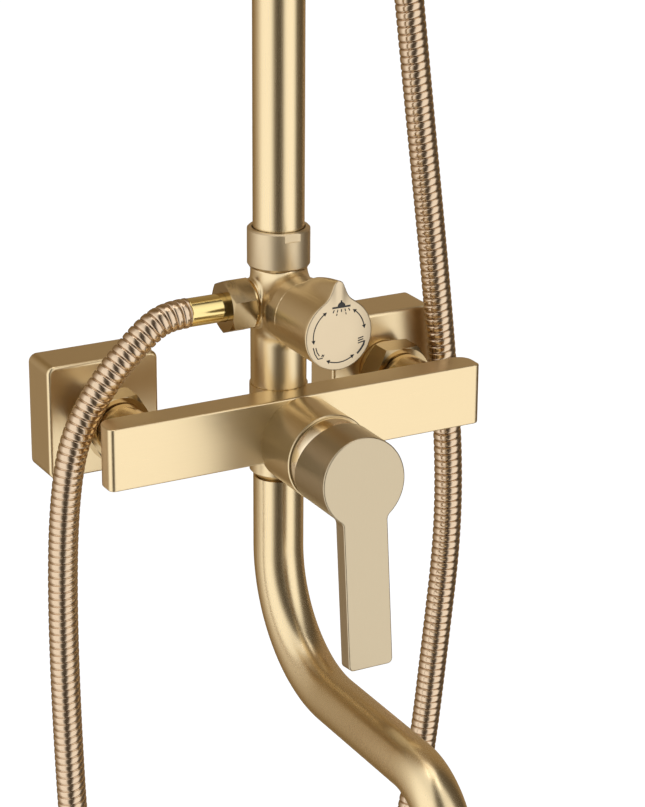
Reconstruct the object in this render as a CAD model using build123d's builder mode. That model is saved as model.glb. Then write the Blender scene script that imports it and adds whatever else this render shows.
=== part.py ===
"""Wall-mounted bath and shower column with a bar mixer, a diverter, a hand shower and a rain head.

Millimetres. The origin is on the wall, midway between the two water inlets. +X is to the right as
seen from the room, +Y goes into the wall and +Z is up, so the column stands out towards -Y. A
"reach" is a distance out from the wall, and is the negative of y.
"""
import os
from math import cos, pi, radians, sin, tan

from build123d import *

# ---- clearances
SEAT_GAP = 0.05        # pieces that are screwed or pressed together, on the radius
RUN_GAP = 0.06         # shafts that turn or slide in a hole, on the radius
FREE_GAP = 0.4         # between faces that move past each other

# ---- the column
COLUMN_REACH = 55.0    # axis of the riser and the spout
TUBE_D = 24.0
TUBE_WALL = 1.5
BAR_LENGTH = 194.0
BAR_HEIGHT = 30.0
BAR_DEPTH = 15.2
BAR_AHEAD = 23.3       # front face of the bar, ahead of the column's axis
BAR_BACK_CORNER = 7.0
BAR_FRONT_CORNER = 3.0
BAR_EDGE = 0.8

# ---- wall connection
INLET_SPACING = 150.0
INLET_THREAD_R = 10.48     # G1/2 male
UNION_THREAD_R = 13.2      # G3/4 male
WALL_THREAD_LENGTH = 16.0
WATERWAY_R = 7.0
ESCUTCHEON_WIDTH = 56.0
ESCUTCHEON_DEPTH = 22.6
ESCUTCHEON_WALL = 1.6
ESCUTCHEON_CORNER = 4.0
ESCUTCHEON_EDGE = 1.8
UNION_NUT_AF = 30.0
UNION_NUT_LENGTH = 13.6
UNION_NUT_STANDOFF = 5.8   # back of the nut, out from the escutcheon
TAIL_D = 25.0

# ---- mixer valve
VALVE_DROP = 6.3           # axis of the valve, below the bar's middle
HOUSING_D = 42.0
HOUSING_LENGTH = 26.7      # out from the bar's front face
CARTRIDGE_R = 17.45
PIVOT_INSET = 1.0          # the lever's lift axis, behind the housing's front
DOME_STEP = 1.1            # the dome's radius under the housing's
CAP_STEP = 0.4             # the cap's diameter under the housing's
CAP_FRONT = 33.4           # front face of the cap at its axis, ahead of the housing
CAP_WALL_GAP = 0.3         # cap's inside, off the dome
CAP_WELL_R = 14.0          # hollow around the stem's socket
CAP_FACE_THICKNESS = 6.0
CAP_BACK_TILT = 14.0       # wedge between the cap and the housing, open at the top
FACE_LEAN = 5.5            # the lever's face leans out at the bottom
PADDLE_WIDTH = 22.6
PADDLE_THICKNESS = 7.3
PADDLE_LENGTH = 88.0       # from the cap's axis down to the tip

# ---- diverter
NECK_STEP = 1.15           # neck's radius over the tube's
COLLAR_GAP = 0.5           # around the riser, inside the collar
COLLAR_WALL = 2.15
COLLAR_HEIGHT = 18.6
KNOB_HEIGHT = 41.0         # axis of the knob above the bar's top
KNOB_R = 16.8
KNOB_BACK = 28.6           # ahead of the column's axis
KNOB_FRONT = 58.5
POINTER_R = 25.2
OUTLET_RING_R = 10.9
HOSE_NUT_AF = 23.0
HOSE_NUT_TURN = 23.0       # corners of the nut, from straight up
HOSE_NUT_LENGTH = 12.3
OUTLET_STEP = 1.9          # the outlet's boss stands out of the neck
OUTLET_RING_LENGTH = 1.35
FERRULE_R = 6.65
FERRULE_LENGTH = 18.1
HOSE_D = 14.0

# ---- spout
SPOUT_DROP = 36.0          # straight length below the boss
SPOUT_BEND_R = 58.0
SPOUT_RUN = 150.0          # level run, from the column's axis to the mouth's bend
SPOUT_MOUTH_R = 34.0
AERATOR_D = 25.0
AERATOR_LENGTH = 13.0
BOSS_STEP = 1.75           # rear boss's radius over the tube's
BOSS_BELOW = 16.0          # boss below the bar's underside

# ---- riser and rain head
COUPLING_Z = 780.0
COUPLING_HEIGHT = 22.0
ARM_Z = 1080.0
ARM_BEND_R = 90.0
ARM_REACH = 400.0          # axis of the rain head
ARM_DROP_R = 45.0
ARM_END_DROP = 66.0        # end of the arm below its level run
HEAD_D = 250.0
HEAD_RIM = 8.0
BALL_R = 11.0
BRACKET_Z = 900.0
BRACKET_FLANGE_D = 54.0
BRACKET_SCREW_SPACING = 28.0
BRACKET_SCREW_R = 2.4
BRACKET_NECK_STEP = 0.4    # screw's plain neck, over its thread's radius

# ---- hand shower
SLIDER_Z = 600.0
SLIDER_HEIGHT = 36.0
SLIDER_WALL = 4.5
HOLDER_OFFSET = 38.0       # axis of the hand shower, right of the riser's
HOLDER_LEAN = 20.0
CONE_LENGTH = 40.0
CONE_TOP_R = 11.0
CONE_END_R = 9.4
HANDLE_LENGTH = 128.0
SPRAY_D = 100.0
SPRAY_DEPTH = 15.0

# ---- places that follow from those sizes
TUBE_R = TUBE_D / 2
BAR_TOP = BAR_HEIGHT / 2
BAR_FRONT = COLUMN_REACH + BAR_AHEAD
BAR_BACK = BAR_FRONT - BAR_DEPTH
HOUSING_FRONT = BAR_FRONT + HOUSING_LENGTH
PIVOT_REACH = HOUSING_FRONT - PIVOT_INSET
CAP_REACH = HOUSING_FRONT + CAP_FRONT
NECK_R = TUBE_R + NECK_STEP
KNOB_Z = BAR_TOP + KNOB_HEIGHT
FRONT_BOSS_R = KNOB_R - 0.4
NECK_TOP = KNOB_Z + FRONT_BOSS_R
DOME_R = HOUSING_D / 2 - DOME_STEP
CAP_D = HOUSING_D - CAP_STEP
COLLAR_R = TUBE_R + COLLAR_GAP + COLLAR_WALL
COLLAR_BORE_R = TUBE_R + COLLAR_GAP
BOSS_R = TUBE_R + BOSS_STEP
BOSS_END = -BAR_TOP - BOSS_BELOW
SLEEVE_R = TUBE_R - 2.0
SPIGOT_R = TUBE_R - 3.0
RISER_START = NECK_TOP + COLLAR_HEIGHT * 0.58
UNION_NUT_BACK = ESCUTCHEON_DEPTH + UNION_NUT_STANDOFF
UNION_NUT_FRONT = UNION_NUT_BACK + UNION_NUT_LENGTH
BALL_Z = ARM_Z - ARM_END_DROP - 24.0
SIDES = {"left": -1, "right": 1}


def upright(x=0.0, reach=COLUMN_REACH, z=0.0):
    """Plane for turned pieces with an upright axis: local x is the radius, local y goes up."""
    return Plane(origin=(x, -reach, z), x_dir=(1, 0, 0), z_dir=(0, -1, 0))


def outward(x=0.0, z=0.0, reach=0.0):
    """Plane for turned pieces that stand out from the wall: local y is the reach."""
    return Plane(origin=(x, -reach, z), x_dir=(1, 0, 0), z_dir=(0, 0, -1))


def leftward(reach=COLUMN_REACH, z=0.0):
    """Plane for turned pieces that point to the left: local y is the distance left."""
    return Plane(origin=(0, -reach, z), x_dir=(0, 0, 1), z_dir=(0, -1, 0))


def facing(x=0.0, z=0.0, reach=0.0):
    """Plane that looks out from the wall: local x is to the right and extruding goes outward."""
    return Plane(origin=(x, -reach, z), x_dir=(1, 0, 0), z_dir=(0, -1, 0))


def turn(plane, outline, mode=Mode.ADD):
    """Revolve a closed outline of (radius, height) points about the plane's local y axis."""
    with BuildSketch(plane) as profile:
        with BuildLine():
            Polyline(*outline, close=True)
        make_face()
    revolve(profile.sketch, axis=Axis(plane.origin, plane.y_dir), mode=mode)


def ring(inner, outer, low, high, bevel=0.0):
    """Outline of a plain ring, with its outer corners bevelled."""
    return [(inner, low), (outer - bevel, low), (outer, low + bevel),
            (outer, high - bevel), (outer - bevel, high), (inner, high)] if bevel else [
            (inner, low), (outer, low), (outer, high), (inner, high)]


def rod(radius, low, high, bevel=0.0):
    """Outline of a solid rod."""
    return ring(0, radius, low, high, bevel)


def hex_nut(plane, across_flats, low, high, turned_by=0.0):
    """Hexagon prism with its corners chamfered by a cone, along the plane's local y axis."""
    corner = across_flats / 2 / cos(radians(30))
    base = Plane(origin=plane.origin + plane.y_dir * low, x_dir=plane.x_dir, z_dir=plane.y_dir)
    with BuildSketch(base) as hexagon:
        RegularPolygon(across_flats / 2, 6, major_radius=False, rotation=turned_by)
    extrude(hexagon.sketch, amount=high - low)
    bevel = corner - across_flats / 2
    turn(plane, [(0, low), (across_flats / 2, low), (corner, low + bevel * 0.6),
                 (corner, high - bevel * 0.6), (across_flats / 2, high), (0, high)], Mode.INTERSECT)


pieces = {}

# =============================================================== wall connection
UNION_END = UNION_NUT_BACK + 6.0
WASHER_END = UNION_END + 2.0
TAIL_FLANGE_END = WASHER_END + 2.0
TAIL_FLANGE_R = UNION_THREAD_R - 0.5
TAIL_NECK_R = TAIL_D / 2 - 2.5
NUT_WALL = TAIL_FLANGE_END + 0.3
TAIL_SHOULDER = UNION_NUT_FRONT + 0.6
SPIGOT_LENGTH = 7.5        # of the tail, into the back of the bar
TAIL_SPIGOT_R = 9.0
inlets = {side: outward(sign * INLET_SPACING / 2) for side, sign in SIDES.items()}

for side, inlet in inlets.items():
    with BuildPart() as wall_union:
        turn(inlet, [(WATERWAY_R, -WALL_THREAD_LENGTH), (INLET_THREAD_R, -WALL_THREAD_LENGTH),
                     (INLET_THREAD_R, 0), (UNION_THREAD_R + 2, 0), (UNION_THREAD_R + 2, 7),
                     (UNION_THREAD_R, 7), (UNION_THREAD_R, UNION_END), (WATERWAY_R, UNION_END)])
    pieces[f"wall_union_{side}"] = wall_union

    with BuildPart() as escutcheon:
        with BuildSketch(facing(inlet.origin.X)):
            Rectangle(ESCUTCHEON_WIDTH, ESCUTCHEON_WIDTH)
        extrude(amount=ESCUTCHEON_DEPTH)
        fillet(escutcheon.edges().filter_by(Axis.Y), ESCUTCHEON_CORNER)
        fillet(escutcheon.faces().sort_by(Axis.Y)[0].edges(), ESCUTCHEON_EDGE)
        with BuildSketch(facing(inlet.origin.X)):
            RectangleRounded(ESCUTCHEON_WIDTH - 2 * ESCUTCHEON_WALL,
                             ESCUTCHEON_WIDTH - 2 * ESCUTCHEON_WALL,
                             ESCUTCHEON_CORNER - ESCUTCHEON_WALL)
        extrude(amount=ESCUTCHEON_DEPTH - ESCUTCHEON_WALL, mode=Mode.SUBTRACT)
        turn(inlet, rod(UNION_THREAD_R + FREE_GAP, 0, ESCUTCHEON_DEPTH + 1), Mode.SUBTRACT)
    pieces[f"escutcheon_{side}"] = escutcheon

    with BuildPart() as union_nut:
        hex_nut(inlet, UNION_NUT_AF, UNION_NUT_BACK, UNION_NUT_FRONT, 30)
        turn(inlet, rod(UNION_THREAD_R + SEAT_GAP, UNION_NUT_BACK - 1, NUT_WALL), Mode.SUBTRACT)
        turn(inlet, rod(TAIL_NECK_R + 0.2, NUT_WALL - 1, UNION_NUT_FRONT + 1), Mode.SUBTRACT)
    pieces[f"union_nut_{side}"] = union_nut

with BuildPart() as inlet_washers:
    for inlet in inlets.values():
        turn(inlet, ring(WATERWAY_R, TAIL_FLANGE_R, UNION_END, WASHER_END))
pieces["inlet_washers"] = inlet_washers

with BuildPart() as inlet_tails:
    for inlet in inlets.values():
        turn(inlet, [(WATERWAY_R, WASHER_END), (TAIL_FLANGE_R, WASHER_END),
                     (TAIL_FLANGE_R, TAIL_FLANGE_END), (TAIL_NECK_R, TAIL_FLANGE_END),
                     (TAIL_NECK_R, TAIL_SHOULDER), (TAIL_D / 2 - 0.6, TAIL_SHOULDER),
                     (TAIL_D / 2, TAIL_SHOULDER + 0.6), (TAIL_D / 2, BAR_BACK),
                     (TAIL_SPIGOT_R, BAR_BACK), (TAIL_SPIGOT_R, BAR_BACK + SPIGOT_LENGTH),
                     (WATERWAY_R, BAR_BACK + SPIGOT_LENGTH)])
pieces["inlet_tails"] = inlet_tails

VALVE_START = TAIL_FLANGE_END + 2.0
VALVE_LENGTH = 14.0
with BuildPart() as check_valves:
    for inlet in inlets.values():
        turn(inlet, [(4.5, VALVE_START), (WATERWAY_R - SEAT_GAP, VALVE_START),
                     (WATERWAY_R - SEAT_GAP, VALVE_START + VALVE_LENGTH),
                     (2.5, VALVE_START + VALVE_LENGTH), (2.5, VALVE_START + VALVE_LENGTH - 3),
                     (4.5, VALVE_START + VALVE_LENGTH - 3)])
pieces["check_valves"] = check_valves

# =============================================================== mixer body
valve = outward(z=-VALVE_DROP)
CHAMBER_FLOOR = BAR_FRONT + 0.9
NUT_SEAT = HOUSING_FRONT - 8.0
CLAMP_NUT_R = HOUSING_D / 2 - 2.1
CHANNEL_R = 4.5
CHANNEL_Z = 3.0
CHANNEL_REACH = BAR_FRONT - BAR_DEPTH / 2

with BuildPart() as mixer_body:
    with BuildSketch(Plane.XY.offset(-BAR_TOP)):
        with Locations((0, -(BAR_FRONT + BAR_BACK) / 2)):
            Rectangle(BAR_LENGTH, BAR_DEPTH)
    extrude(amount=BAR_HEIGHT)
    upright_edges = mixer_body.edges().filter_by(Axis.Z).sort_by(Axis.Y)
    fillet(upright_edges[2:], BAR_BACK_CORNER)
    fillet(mixer_body.edges().filter_by(Axis.Z).sort_by(Axis.Y)[:2], BAR_FRONT_CORNER)
    fillet(mixer_body.faces().sort_by(Axis.Z)[-1].edges(), BAR_EDGE)
    fillet(mixer_body.faces().sort_by(Axis.Z)[0].edges(), BAR_EDGE)
    turn(upright(), [(0, BOSS_END), (BOSS_R - 2.8, BOSS_END), (BOSS_R, BOSS_END + 2.8),
                     (BOSS_R, BAR_TOP), (0, BAR_TOP)])
    turn(valve, rod(HOUSING_D / 2, BAR_FRONT - 2, HOUSING_FRONT, 0.4))
    # waterways: hot and cold along the bar, mixed water back into the upright boss
    turn(upright(), [(0, BOSS_END - 1), (SLEEVE_R + RUN_GAP, BOSS_END - 1),
                     (SLEEVE_R + RUN_GAP, BOSS_END + 20), (WATERWAY_R, BOSS_END + 21),
                     (WATERWAY_R, BAR_TOP - 10), (SPIGOT_R + SEAT_GAP, BAR_TOP - 10),
                     (SPIGOT_R + SEAT_GAP, BAR_TOP + 1), (0, BAR_TOP + 1)], Mode.SUBTRACT)
    turn(valve, [(0, CHAMBER_FLOOR), (CARTRIDGE_R + SEAT_GAP, CHAMBER_FLOOR),
                 (CARTRIDGE_R + SEAT_GAP, NUT_SEAT), (CLAMP_NUT_R + SEAT_GAP, NUT_SEAT),
                 (CLAMP_NUT_R + SEAT_GAP, HOUSING_FRONT + 1), (0, HOUSING_FRONT + 1)],
         Mode.SUBTRACT)
    turn(outward(z=-9.5), rod(3.4, COLUMN_REACH, CHAMBER_FLOOR + 1), Mode.SUBTRACT)
    for sign in SIDES.values():
        turn(outward(sign * INLET_SPACING / 2),
             rod(TAIL_SPIGOT_R + SEAT_GAP, BAR_BACK - 1, BAR_BACK + SPIGOT_LENGTH + 0.1),
             Mode.SUBTRACT)
        with BuildSketch(Plane(origin=(sign * 8, -CHANNEL_REACH, CHANNEL_Z), x_dir=(0, 1, 0),
                               z_dir=(sign, 0, 0))):
            Circle(CHANNEL_R)
        extrude(amount=INLET_SPACING / 2 - 8, mode=Mode.SUBTRACT)
        turn(outward(sign * 11, CHANNEL_Z), rod(2.8, CHANNEL_REACH, CHAMBER_FLOOR + 1),
             Mode.SUBTRACT)
    # hole for the screw that keeps the spout in
    turn(outward(z=BOSS_END + 8), rod(2.05, COLUMN_REACH - BOSS_R - 1, COLUMN_REACH - SLEEVE_R + 2),
         Mode.SUBTRACT)
pieces["mixer_body"] = mixer_body

# =============================================================== mixer valve and lever
DISC_FLOOR = CHAMBER_FLOOR + 4
ROTOR_BACK = DISC_FLOOR + 8.2
ROTOR_FRONT = PIVOT_REACH - 5.0
with BuildPart() as cartridge_body:
    turn(valve, [(0, CHAMBER_FLOOR + 0.1), (CARTRIDGE_R, CHAMBER_FLOOR + 0.1),
                 (CARTRIDGE_R, NUT_SEAT - 0.1), (15.4, NUT_SEAT - 0.1), (15.4, ROTOR_FRONT + 1.2),
                 (14.3, ROTOR_FRONT + 1.2), (14.3, DISC_FLOOR), (0, DISC_FLOOR)])
    for x, z in ((-11, CHANNEL_Z), (11, CHANNEL_Z), (0, -9.5)):
        turn(outward(x, z), rod(2.6, CHAMBER_FLOOR - 1, DISC_FLOOR + 1), Mode.SUBTRACT)
pieces["cartridge_body"] = cartridge_body

with BuildPart() as fixed_disc:
    turn(valve, rod(14.2, DISC_FLOOR + 0.05, DISC_FLOOR + 3.9))
    for x, z in ((-9.5, CHANNEL_Z), (9.5, CHANNEL_Z), (0, -9.5)):
        turn(outward(x, z), rod(2.4, DISC_FLOOR - 1, DISC_FLOOR + 5), Mode.SUBTRACT)
pieces["fixed_disc"] = fixed_disc

with BuildPart() as moving_disc:
    turn(valve, rod(13.9, DISC_FLOOR + 4.25, DISC_FLOOR + 7.9))
    turn(outward(z=-VALVE_DROP), rod(4.0, DISC_FLOOR + 3, DISC_FLOOR + 5.6), Mode.SUBTRACT)
pieces["moving_disc"] = moving_disc

EAR_INNER = 5.0
with BuildPart() as cartridge_rotor:
    turn(valve, rod(13.9, DISC_FLOOR + 7.9, ROTOR_FRONT, 0.4))
    for sign in SIDES.values():
        with BuildSketch(facing(sign * (EAR_INNER + 1.6), -VALVE_DROP, ROTOR_FRONT - 0.5)):
            Rectangle(3.2, 8)
        extrude(amount=PIVOT_REACH + 3.0 - ROTOR_FRONT + 0.5)
    with BuildSketch(Plane(origin=(-12, -PIVOT_REACH, -VALVE_DROP), x_dir=(0, 1, 0),
                           z_dir=(1, 0, 0))):
        Circle(1.6)
    extrude(amount=24, mode=Mode.SUBTRACT)
pieces["cartridge_rotor"] = cartridge_rotor

with BuildPart() as pivot_pin:
    with BuildSketch(Plane(origin=(-EAR_INNER - 3.2, -PIVOT_REACH, -VALVE_DROP), x_dir=(0, 1, 0),
                           z_dir=(1, 0, 0))):
        Circle(1.6 - SEAT_GAP)
    extrude(amount=2 * EAR_INNER + 6.4)
pieces["pivot_pin"] = pivot_pin

STEM_WIDTH = 9.0
STEM_END = CAP_REACH - CAP_FACE_THICKNESS - 1.5
with BuildPart() as cartridge_stem:
    with BuildSketch(Plane(origin=(-STEM_WIDTH / 2, -PIVOT_REACH, -VALVE_DROP), x_dir=(0, -1, 0),
                           z_dir=(1, 0, 0))):
        Circle(STEM_WIDTH / 2)
        with Locations(((STEM_END - PIVOT_REACH) / 2, 0)):
            Rectangle(STEM_END - PIVOT_REACH, STEM_WIDTH)
        Circle(1.6 - SEAT_GAP + RUN_GAP, mode=Mode.SUBTRACT)
    extrude(amount=STEM_WIDTH)
pieces["cartridge_stem"] = cartridge_stem

with BuildPart() as cartridge_nut:
    turn(valve, ring(15.5, CLAMP_NUT_R, NUT_SEAT + 0.05, HOUSING_FRONT - 1.0, 0.4))
pieces["cartridge_nut"] = cartridge_nut

DOME_OPENING = 13.6
DOME_SKIN = 2.3
DOME_FOOT_R = CLAMP_NUT_R - 0.5
with BuildPart() as trim_dome:
    dome_foot = HOUSING_FRONT - 0.9
    brow = HOUSING_FRONT + 0.3
    centre = PIVOT_REACH
    brow_r = (DOME_R ** 2 - (brow - centre) ** 2) ** 0.5
    inner = DOME_R - DOME_SKIN
    lip = centre + (DOME_R ** 2 - DOME_OPENING ** 2) ** 0.5
    inner_lip = centre + (inner ** 2 - DOME_OPENING ** 2) ** 0.5
    inner_low = dome_foot + 0.4
    inner_low_r = (inner ** 2 - (inner_low - centre) ** 2) ** 0.5
    middle = radians(20)
    with BuildSketch(valve):
        with BuildLine():
            Polyline((inner_low_r, inner_low), (inner_low_r, dome_foot), (DOME_FOOT_R, dome_foot),
                     (DOME_FOOT_R, brow), (brow_r, brow))
            ThreePointArc((brow_r, brow),
                          (DOME_R * cos(middle), centre + DOME_R * sin(middle)),
                          (DOME_OPENING, lip))
            Line((DOME_OPENING, lip), (DOME_OPENING, inner_lip))
            ThreePointArc((DOME_OPENING, inner_lip),
                          (inner * cos(middle), centre + inner * sin(middle)),
                          (inner_low_r, inner_low))
        make_face()
    revolve(axis=Axis(valve.origin, valve.y_dir))
pieces["trim_dome"] = trim_dome

# The lever is one casting: a round cap, its paddle and the inner socket for the stem.
face_plane = Plane(origin=(0, -CAP_REACH, -VALVE_DROP), x_dir=(1, 0, 0),
                   z_dir=(0, -cos(radians(FACE_LEAN)), sin(radians(FACE_LEAN))))
CAP_BACK = HOUSING_FRONT + 1.0 + CAP_D / 2 * tan(radians(CAP_BACK_TILT))
cap_back_plane = Plane(origin=(0, -CAP_BACK, -VALVE_DROP), x_dir=(1, 0, 0),
                       z_dir=(0, cos(radians(CAP_BACK_TILT)), sin(radians(CAP_BACK_TILT))))
CAVITY_FRONT = CAP_REACH - CAP_FACE_THICKNESS
with BuildPart() as lever_handle:
    turn(valve, rod(CAP_D / 2, HOUSING_FRONT - 3, CAP_REACH + 6))
    with Locations((0, -PIVOT_REACH, -VALVE_DROP)):
        Sphere(DOME_R + CAP_WALL_GAP, mode=Mode.SUBTRACT)
    turn(valve, rod(CAP_WELL_R, PIVOT_REACH, CAVITY_FRONT), Mode.SUBTRACT)
    with BuildSketch(cap_back_plane):
        Rectangle(CAP_D * 2, CAP_D * 2)
    extrude(amount=CAP_D, mode=Mode.SUBTRACT)
    with BuildSketch(face_plane):
        Rectangle(CAP_D * 2, CAP_D * 2)
    extrude(amount=CAP_D, mode=Mode.SUBTRACT)
    with BuildSketch(face_plane):
        with BuildLine():
            Polyline((-PADDLE_WIDTH / 2, -CAP_D * 0.32), (-PADDLE_WIDTH / 2, -PADDLE_LENGTH),
                     (PADDLE_WIDTH / 2, -PADDLE_LENGTH), (PADDLE_WIDTH / 2, -CAP_D * 0.32),
                     close=True)
        make_face()
    extrude(amount=-PADDLE_THICKNESS)
    root_edges = lever_handle.edges().filter_by(GeomType.LINE).filter_by(
        lambda edge: edge.length > PADDLE_THICKNESS * 0.8
        and abs(abs(edge.center().X) - PADDLE_WIDTH / 2) < 0.1
        and -VALVE_DROP - CAP_D * 0.5 < edge.center().Z < -VALVE_DROP - CAP_D * 0.32
        and abs(edge.tangent_at(0).Z) < 0.3)
    fillet(root_edges, 4.0)
    fillet(lever_handle.edges().filter_by(
        lambda edge: abs(edge.tangent_at(0).X) < 0.1 and abs(edge.tangent_at(0).Z) < 0.3
        and edge.center().Z < -VALVE_DROP - PADDLE_LENGTH * 0.97), 2.5)
    socket_back = PIVOT_REACH + 13.0
    turn(valve, rod(7.0, socket_back, CAVITY_FRONT + 1))
    with BuildSketch(facing(z=-VALVE_DROP, reach=socket_back - 1)):
        Rectangle(STEM_WIDTH + 2 * SEAT_GAP, STEM_WIDTH + 2 * SEAT_GAP)
    extrude(amount=STEM_END + 0.2 - socket_back + 1, mode=Mode.SUBTRACT)
    # front rim
    fillet(lever_handle.edges().filter_by(lambda edge: face_plane.to_local_coords(
        edge.center()).Z > -0.3 and face_plane.to_local_coords(edge.center()).Z < 0.3), 0.7)
    # grub screw hole under the cap
    screw_reach = (socket_back + CAVITY_FRONT) / 2
    with BuildSketch(Plane.XY.offset(-VALVE_DROP - CAP_D)):
        with Locations((0, -screw_reach)):
            Circle(2.0 + SEAT_GAP)
    extrude(amount=CAP_D - STEM_WIDTH / 2, mode=Mode.SUBTRACT)
pieces["lever_handle"] = lever_handle

with BuildPart() as lever_screw:
    turn(upright(reach=screw_reach, z=-VALVE_DROP), rod(2.0, -STEM_WIDTH / 2 - 6.5,
                                                        -STEM_WIDTH / 2 - SEAT_GAP, 0.3))
    with BuildSketch(Plane.XY.offset(-VALVE_DROP - STEM_WIDTH / 2 - 6.5)):
        with Locations((0, -screw_reach)):
            RegularPolygon(1.0, 6)
    extrude(amount=2.0, mode=Mode.SUBTRACT)
pieces["lever_screw"] = lever_screw

# =============================================================== spout
SPOUT_TOP = BOSS_END - FREE_GAP
SPOUT_LEVEL = SPOUT_TOP - SPOUT_DROP - SPOUT_BEND_R
MOUTH_ANGLE = radians(62)
mouth_corner = (0, -COLUMN_REACH - SPOUT_RUN, SPOUT_LEVEL)
MOUTH_LEG = SPOUT_MOUTH_R * tan(MOUTH_ANGLE / 2) + 6.0
mouth_end = (0, mouth_corner[1] - MOUTH_LEG * cos(MOUTH_ANGLE),
             SPOUT_LEVEL - MOUTH_LEG * sin(MOUTH_ANGLE))
mouth = Plane(origin=mouth_end, x_dir=(1, 0, 0),
              z_dir=(0, -sin(MOUTH_ANGLE), cos(MOUTH_ANGLE)))

with BuildPart() as spout_tube:
    with BuildLine():
        FilletPolyline((0, -COLUMN_REACH, SPOUT_TOP), (0, -COLUMN_REACH, SPOUT_LEVEL),
                       mouth_corner, mouth_end, radius=[SPOUT_BEND_R, SPOUT_MOUTH_R])
    with BuildSketch(Plane.XY.offset(SPOUT_TOP)):
        with Locations((0, -COLUMN_REACH)):
            Circle(TUBE_R)
            Circle(TUBE_R - TUBE_WALL, mode=Mode.SUBTRACT)
    sweep()
pieces["spout_tube"] = spout_tube

SLEEVE_TOP = BOSS_END + 19.0
SLEEVE_BORE_R = SLEEVE_R - 3.5
with BuildPart() as spout_sleeve:
    turn(upright(), [(SLEEVE_BORE_R, SPOUT_TOP - 10), (TUBE_R - TUBE_WALL - SEAT_GAP, SPOUT_TOP - 10),
                     (TUBE_R - TUBE_WALL - SEAT_GAP, SPOUT_TOP), (SLEEVE_R, SPOUT_TOP),
                     (SLEEVE_R, BOSS_END + 5.5), (SLEEVE_R - 1.6, BOSS_END + 5.5),
                     (SLEEVE_R - 1.6, BOSS_END + 10.5), (SLEEVE_R, BOSS_END + 10.5),
                     (SLEEVE_R, SLEEVE_TOP - 5.4), (SLEEVE_R - 1.6, SLEEVE_TOP - 5.4),
                     (SLEEVE_R - 1.6, SLEEVE_TOP - 3.2), (SLEEVE_R, SLEEVE_TOP - 3.2),
                     (SLEEVE_R, SLEEVE_TOP), (SLEEVE_BORE_R, SLEEVE_TOP)])
pieces["spout_sleeve"] = spout_sleeve

with BuildPart() as spout_o_ring:
    turn(upright(), ring(SLEEVE_R - 1.55, SLEEVE_R - 0.02, SLEEVE_TOP - 5.3, SLEEVE_TOP - 3.3, 0.4))
pieces["spout_o_ring"] = spout_o_ring

with BuildPart() as spout_screw:
    turn(outward(z=BOSS_END + 8), rod(2.0, COLUMN_REACH - BOSS_R + 0.5,
                                      COLUMN_REACH - SLEEVE_R + 1.1, 0.3))
pieces["spout_screw"] = spout_screw

with BuildPart() as aerator_housing:
    turn(mouth, [(TUBE_R - TUBE_WALL, 0), (TUBE_R - TUBE_WALL, -AERATOR_LENGTH + 1.2),
                 (TUBE_R - TUBE_WALL - 1.2, -AERATOR_LENGTH + 1.2),
                 (TUBE_R - TUBE_WALL - 1.2, -AERATOR_LENGTH),
                 (AERATOR_D / 2 - 0.8, -AERATOR_LENGTH), (AERATOR_D / 2, -AERATOR_LENGTH + 0.8),
                 (AERATOR_D / 2, -0.4), (AERATOR_D / 2 - 0.4, 0)])
pieces["aerator_housing"] = aerator_housing

with BuildPart() as aerator_insert:
    insert_r = TUBE_R - TUBE_WALL - SEAT_GAP
    turn(mouth, rod(insert_r, -AERATOR_LENGTH + 1.2, -2.0))
    grid_floor = Plane(origin=mouth.origin - mouth.y_dir * AERATOR_LENGTH, x_dir=(1, 0, 0),
                       z_dir=mouth.y_dir)
    with BuildSketch(grid_floor):
        with GridLocations(3.0, 3.0, 5, 5):
            Rectangle(2.1, 2.1)
    extrude(amount=5.0, mode=Mode.SUBTRACT)
pieces["aerator_insert"] = aerator_insert

# =============================================================== diverter
knob_axis = outward(z=KNOB_Z)
hose_axis = leftward(z=KNOB_Z)
FRONT_BOSS_END = COLUMN_REACH + KNOB_BACK - FREE_GAP
CARTRIDGE_BORE = 11.0
OUTLET_BOSS_END = NECK_R + OUTLET_STEP
OUTLET_RING_END = OUTLET_BOSS_END + OUTLET_RING_LENGTH
HOSE_NUT_START = OUTLET_RING_END + 0.2
with BuildPart() as diverter_body:
    turn(upright(), rod(NECK_R, BAR_TOP, NECK_TOP))
    with BuildSketch(knob_axis):
        with BuildLine():
            Polyline((FRONT_BOSS_R, COLUMN_REACH + 21), (FRONT_BOSS_R, FRONT_BOSS_END),
                     (0, FRONT_BOSS_END), (0, COLUMN_REACH - 8), (9.0, COLUMN_REACH - 8))
            ThreePointArc((9.0, COLUMN_REACH - 8), (12.4, COLUMN_REACH - 3.4),
                          (NECK_R + 0.5, COLUMN_REACH + 4))
            Spline((NECK_R + 0.5, COLUMN_REACH + 4), (NECK_R + 1.6, COLUMN_REACH + 13),
                   (FRONT_BOSS_R, COLUMN_REACH + 21), tangents=[(0, 1), (0, 1)])
        make_face()
    revolve(axis=Axis(knob_axis.origin, knob_axis.y_dir))
    turn(hose_axis, rod(OUTLET_RING_R + 0.6, 0, OUTLET_BOSS_END))
    turn(upright(), rod(SPIGOT_R, BAR_TOP - 9.8, BAR_TOP + 1))
    turn(upright(), rod(COLLAR_BORE_R - SEAT_GAP, NECK_TOP - 0.5, RISER_START - 0.5, 0.4))
    turn(upright(), rod(WATERWAY_R, BAR_TOP - 11, RISER_START + 1), Mode.SUBTRACT)
    turn(knob_axis, rod(CARTRIDGE_BORE, COLUMN_REACH - 4, FRONT_BOSS_END + 1), Mode.SUBTRACT)
    turn(hose_axis, rod(6.0, 0, NECK_R + 3), Mode.SUBTRACT)
pieces["diverter_body"] = diverter_body

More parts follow.
